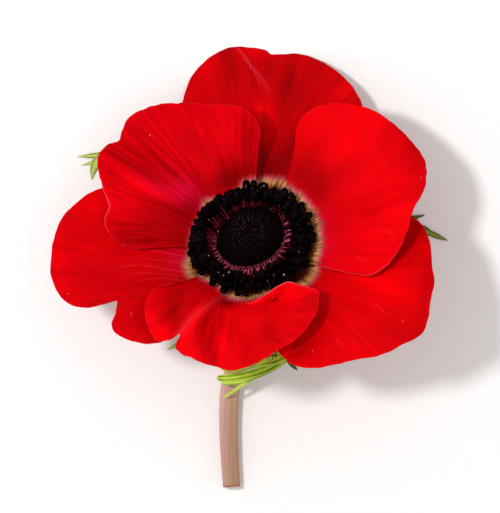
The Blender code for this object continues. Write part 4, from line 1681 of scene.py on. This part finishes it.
BRACTS = (
    Bract(
        "bract_right",
        (
            Leaflet(
                ((5.05, 1.0, 9.2), (12, 3.5, 6.2), (24, 9.0, 2.4), (36, 9.4, 0.5), (44.3, 6.3, -0.5)),
                2.3, rim=0.1, edge=0.9,
            ),
            Leaflet(((29, 9.9, 1.5), (34.5, 10.8, 0.6), (39.2, 12.0, -0.4)), 0.8, rim=0.0, shade=0.7),
            Leaflet(((14, 4.6, 5.4), (22, 13.5, 2.4), (27, 21, 0.6), (30.5, 27.5, -0.5)), 2.2, edge=0.6),
            Leaflet(((9, 2.4, 7.6), (17, -2.5, 4.2), (24, -9, 1.2), (29.5, -16.5, -0.5)), 2.2, edge=0.6),
            Leaflet(((20, -5.4, 2.8), (28, -5.8, 0.8), (34, -7.5, -0.5)), 1.5, edge=0.6),
        ),
        # A darker copy of the leaf skin: painted shade, as this bract lies in the petals' shadow.
        LeafSkin(deep="4A5C06", green="627A12", light="8A9A3A", rim="9CA860", shade="16300A"),
    ),
    Bract(
        "bract_left",
        (
            Leaflet(
                ((-1.05, 2.0, 8.8), (-8, 6, 6.0), (-21, 16.5, 2.2), (-31, 25, 0.5), (-38.4, 25, -0.5)),
                2.6, tooth=0.06, blunt=0.03, rim=0.15, edge=0.5,
            ),
            Leaflet(((-28.5, 23.0, 1.0), (-33.2, 23.9, 0.4), (-37.5, 23.0, -0.5)), 0.6, tooth=0.0, rim=0.9),
            Leaflet(
                ((-28.5, 23.2, 1.0), (-33.2, 24.3, 0.6), (-34.5, 22.6, 0.2), (-35.1, 19.8, -0.4)),
                1.25, tooth=0.0, edge=0.2,
            ),
            Leaflet(((-16, 12.6, 3.5), (-19, 21, 1.4), (-20.5, 30, -0.5)), 1.9),
            Leaflet(((-6, 4.8, 6.8), (-14, 3.5, 4.2), (-24, 6.5, 1.2), (-34, 5.5, -0.5)), 2.3),
            Leaflet(((-5, 4.3, 7.2), (-11, -3, 5.4), (-11, -14, 3.2), (-18.4, -18.1, 1.2)), 1.8),
        ),
        LeafSkin(deep="64801A", green="92AC34", light="BACC66"),
    ),
    Bract(
        "bract_front",
        (
            Leaflet((
                (2.4, -2.2, 10.2), (6.5, -8, 12.4), (9.5, -14.5, 13.2), (7.4, -19.2, 12.9),
                (3.2, -20.9, 12.4), (-1.4, -21.4, 11.6),
            ), 2.0, tooth=0.03, rim=0.25, stripes=3.0),
            Leaflet((
                (6.2, -9, 12.4), (8.2, -15, 12.9), (5.5, -19.4, 12.7), (2.0, -21.2, 12.2),
                (-1.0, -22.1, 11.5), (-4.3, -22.95, 10.8), (-6.3, -22.2, 10.2),
            ), 0.55, tooth=0.0, blunt=0.3, rim=0.1),
            Leaflet((
                (7, -10, 12.6), (9.6, -15.5, 12.8), (8.2, -19.3, 12.5), (5.2, -21.5, 11.9),
                (2.3, -22.8, 11.0), (-0.5, -23.6, 9.9), (-3.8, -24.2, 9.0), (-7.1, -24.35, 8.2),
            ), 1.0, tooth=0.03, blunt=0.75, rim=0.35, stripes=2.0),
            Leaflet((
                (7, -10, 12.3), (9.6, -15.5, 12.4), (8.2, -19.6, 12.0), (5.2, -22, 11.2),
                (2.5, -23.3, 10.3), (0.2, -24.3, 9.4), (-2.0, -25.0, 8.6), (-6.0, -25.4, 7.7),
            ), 0.75, tooth=0.03, blunt=0.75, rim=0.35),
            Leaflet((
                (6, -9, 12.1), (9.6, -15.8, 12.1), (8.4, -19.8, 11.7), (5.9, -21.6, 11.0),
                (2.87, -23.1, 10.1), (-0.47, -25.0, 8.9), (-2.9, -26.8, 7.8), (-5.7, -28.6, 6.7),
            ), 0.75, tooth=0.0, blunt=0.3, rim=0.95, stripes=0.8),
            Leaflet((
                (7.5, -10.5, 12.6), (9.8, -15, 12.8), (9.0, -19.0, 12.3), (9.4, -21.0, 11.4),
                (10.8, -22.6, 10.4),
            ), 1.4, tooth=0.0, rim=0.0, shade=0.9),
        ),
        LeafSkin(),
        stain_at=(5.4, -18.9, 12.9),
    ),
)


def main() -> None:
    """Builds the studio and then the flower, piece by piece."""
    logging.basicConfig(level=logging.INFO, format="%(name)s: %(message)s")
    Studio().build()
    bloom = Bloom()
    for part in (*PETALS, *BRACTS, Stem(), Pistils(), Stamens()):
        part.build(bloom)


if __name__ == "__main__":
    main()
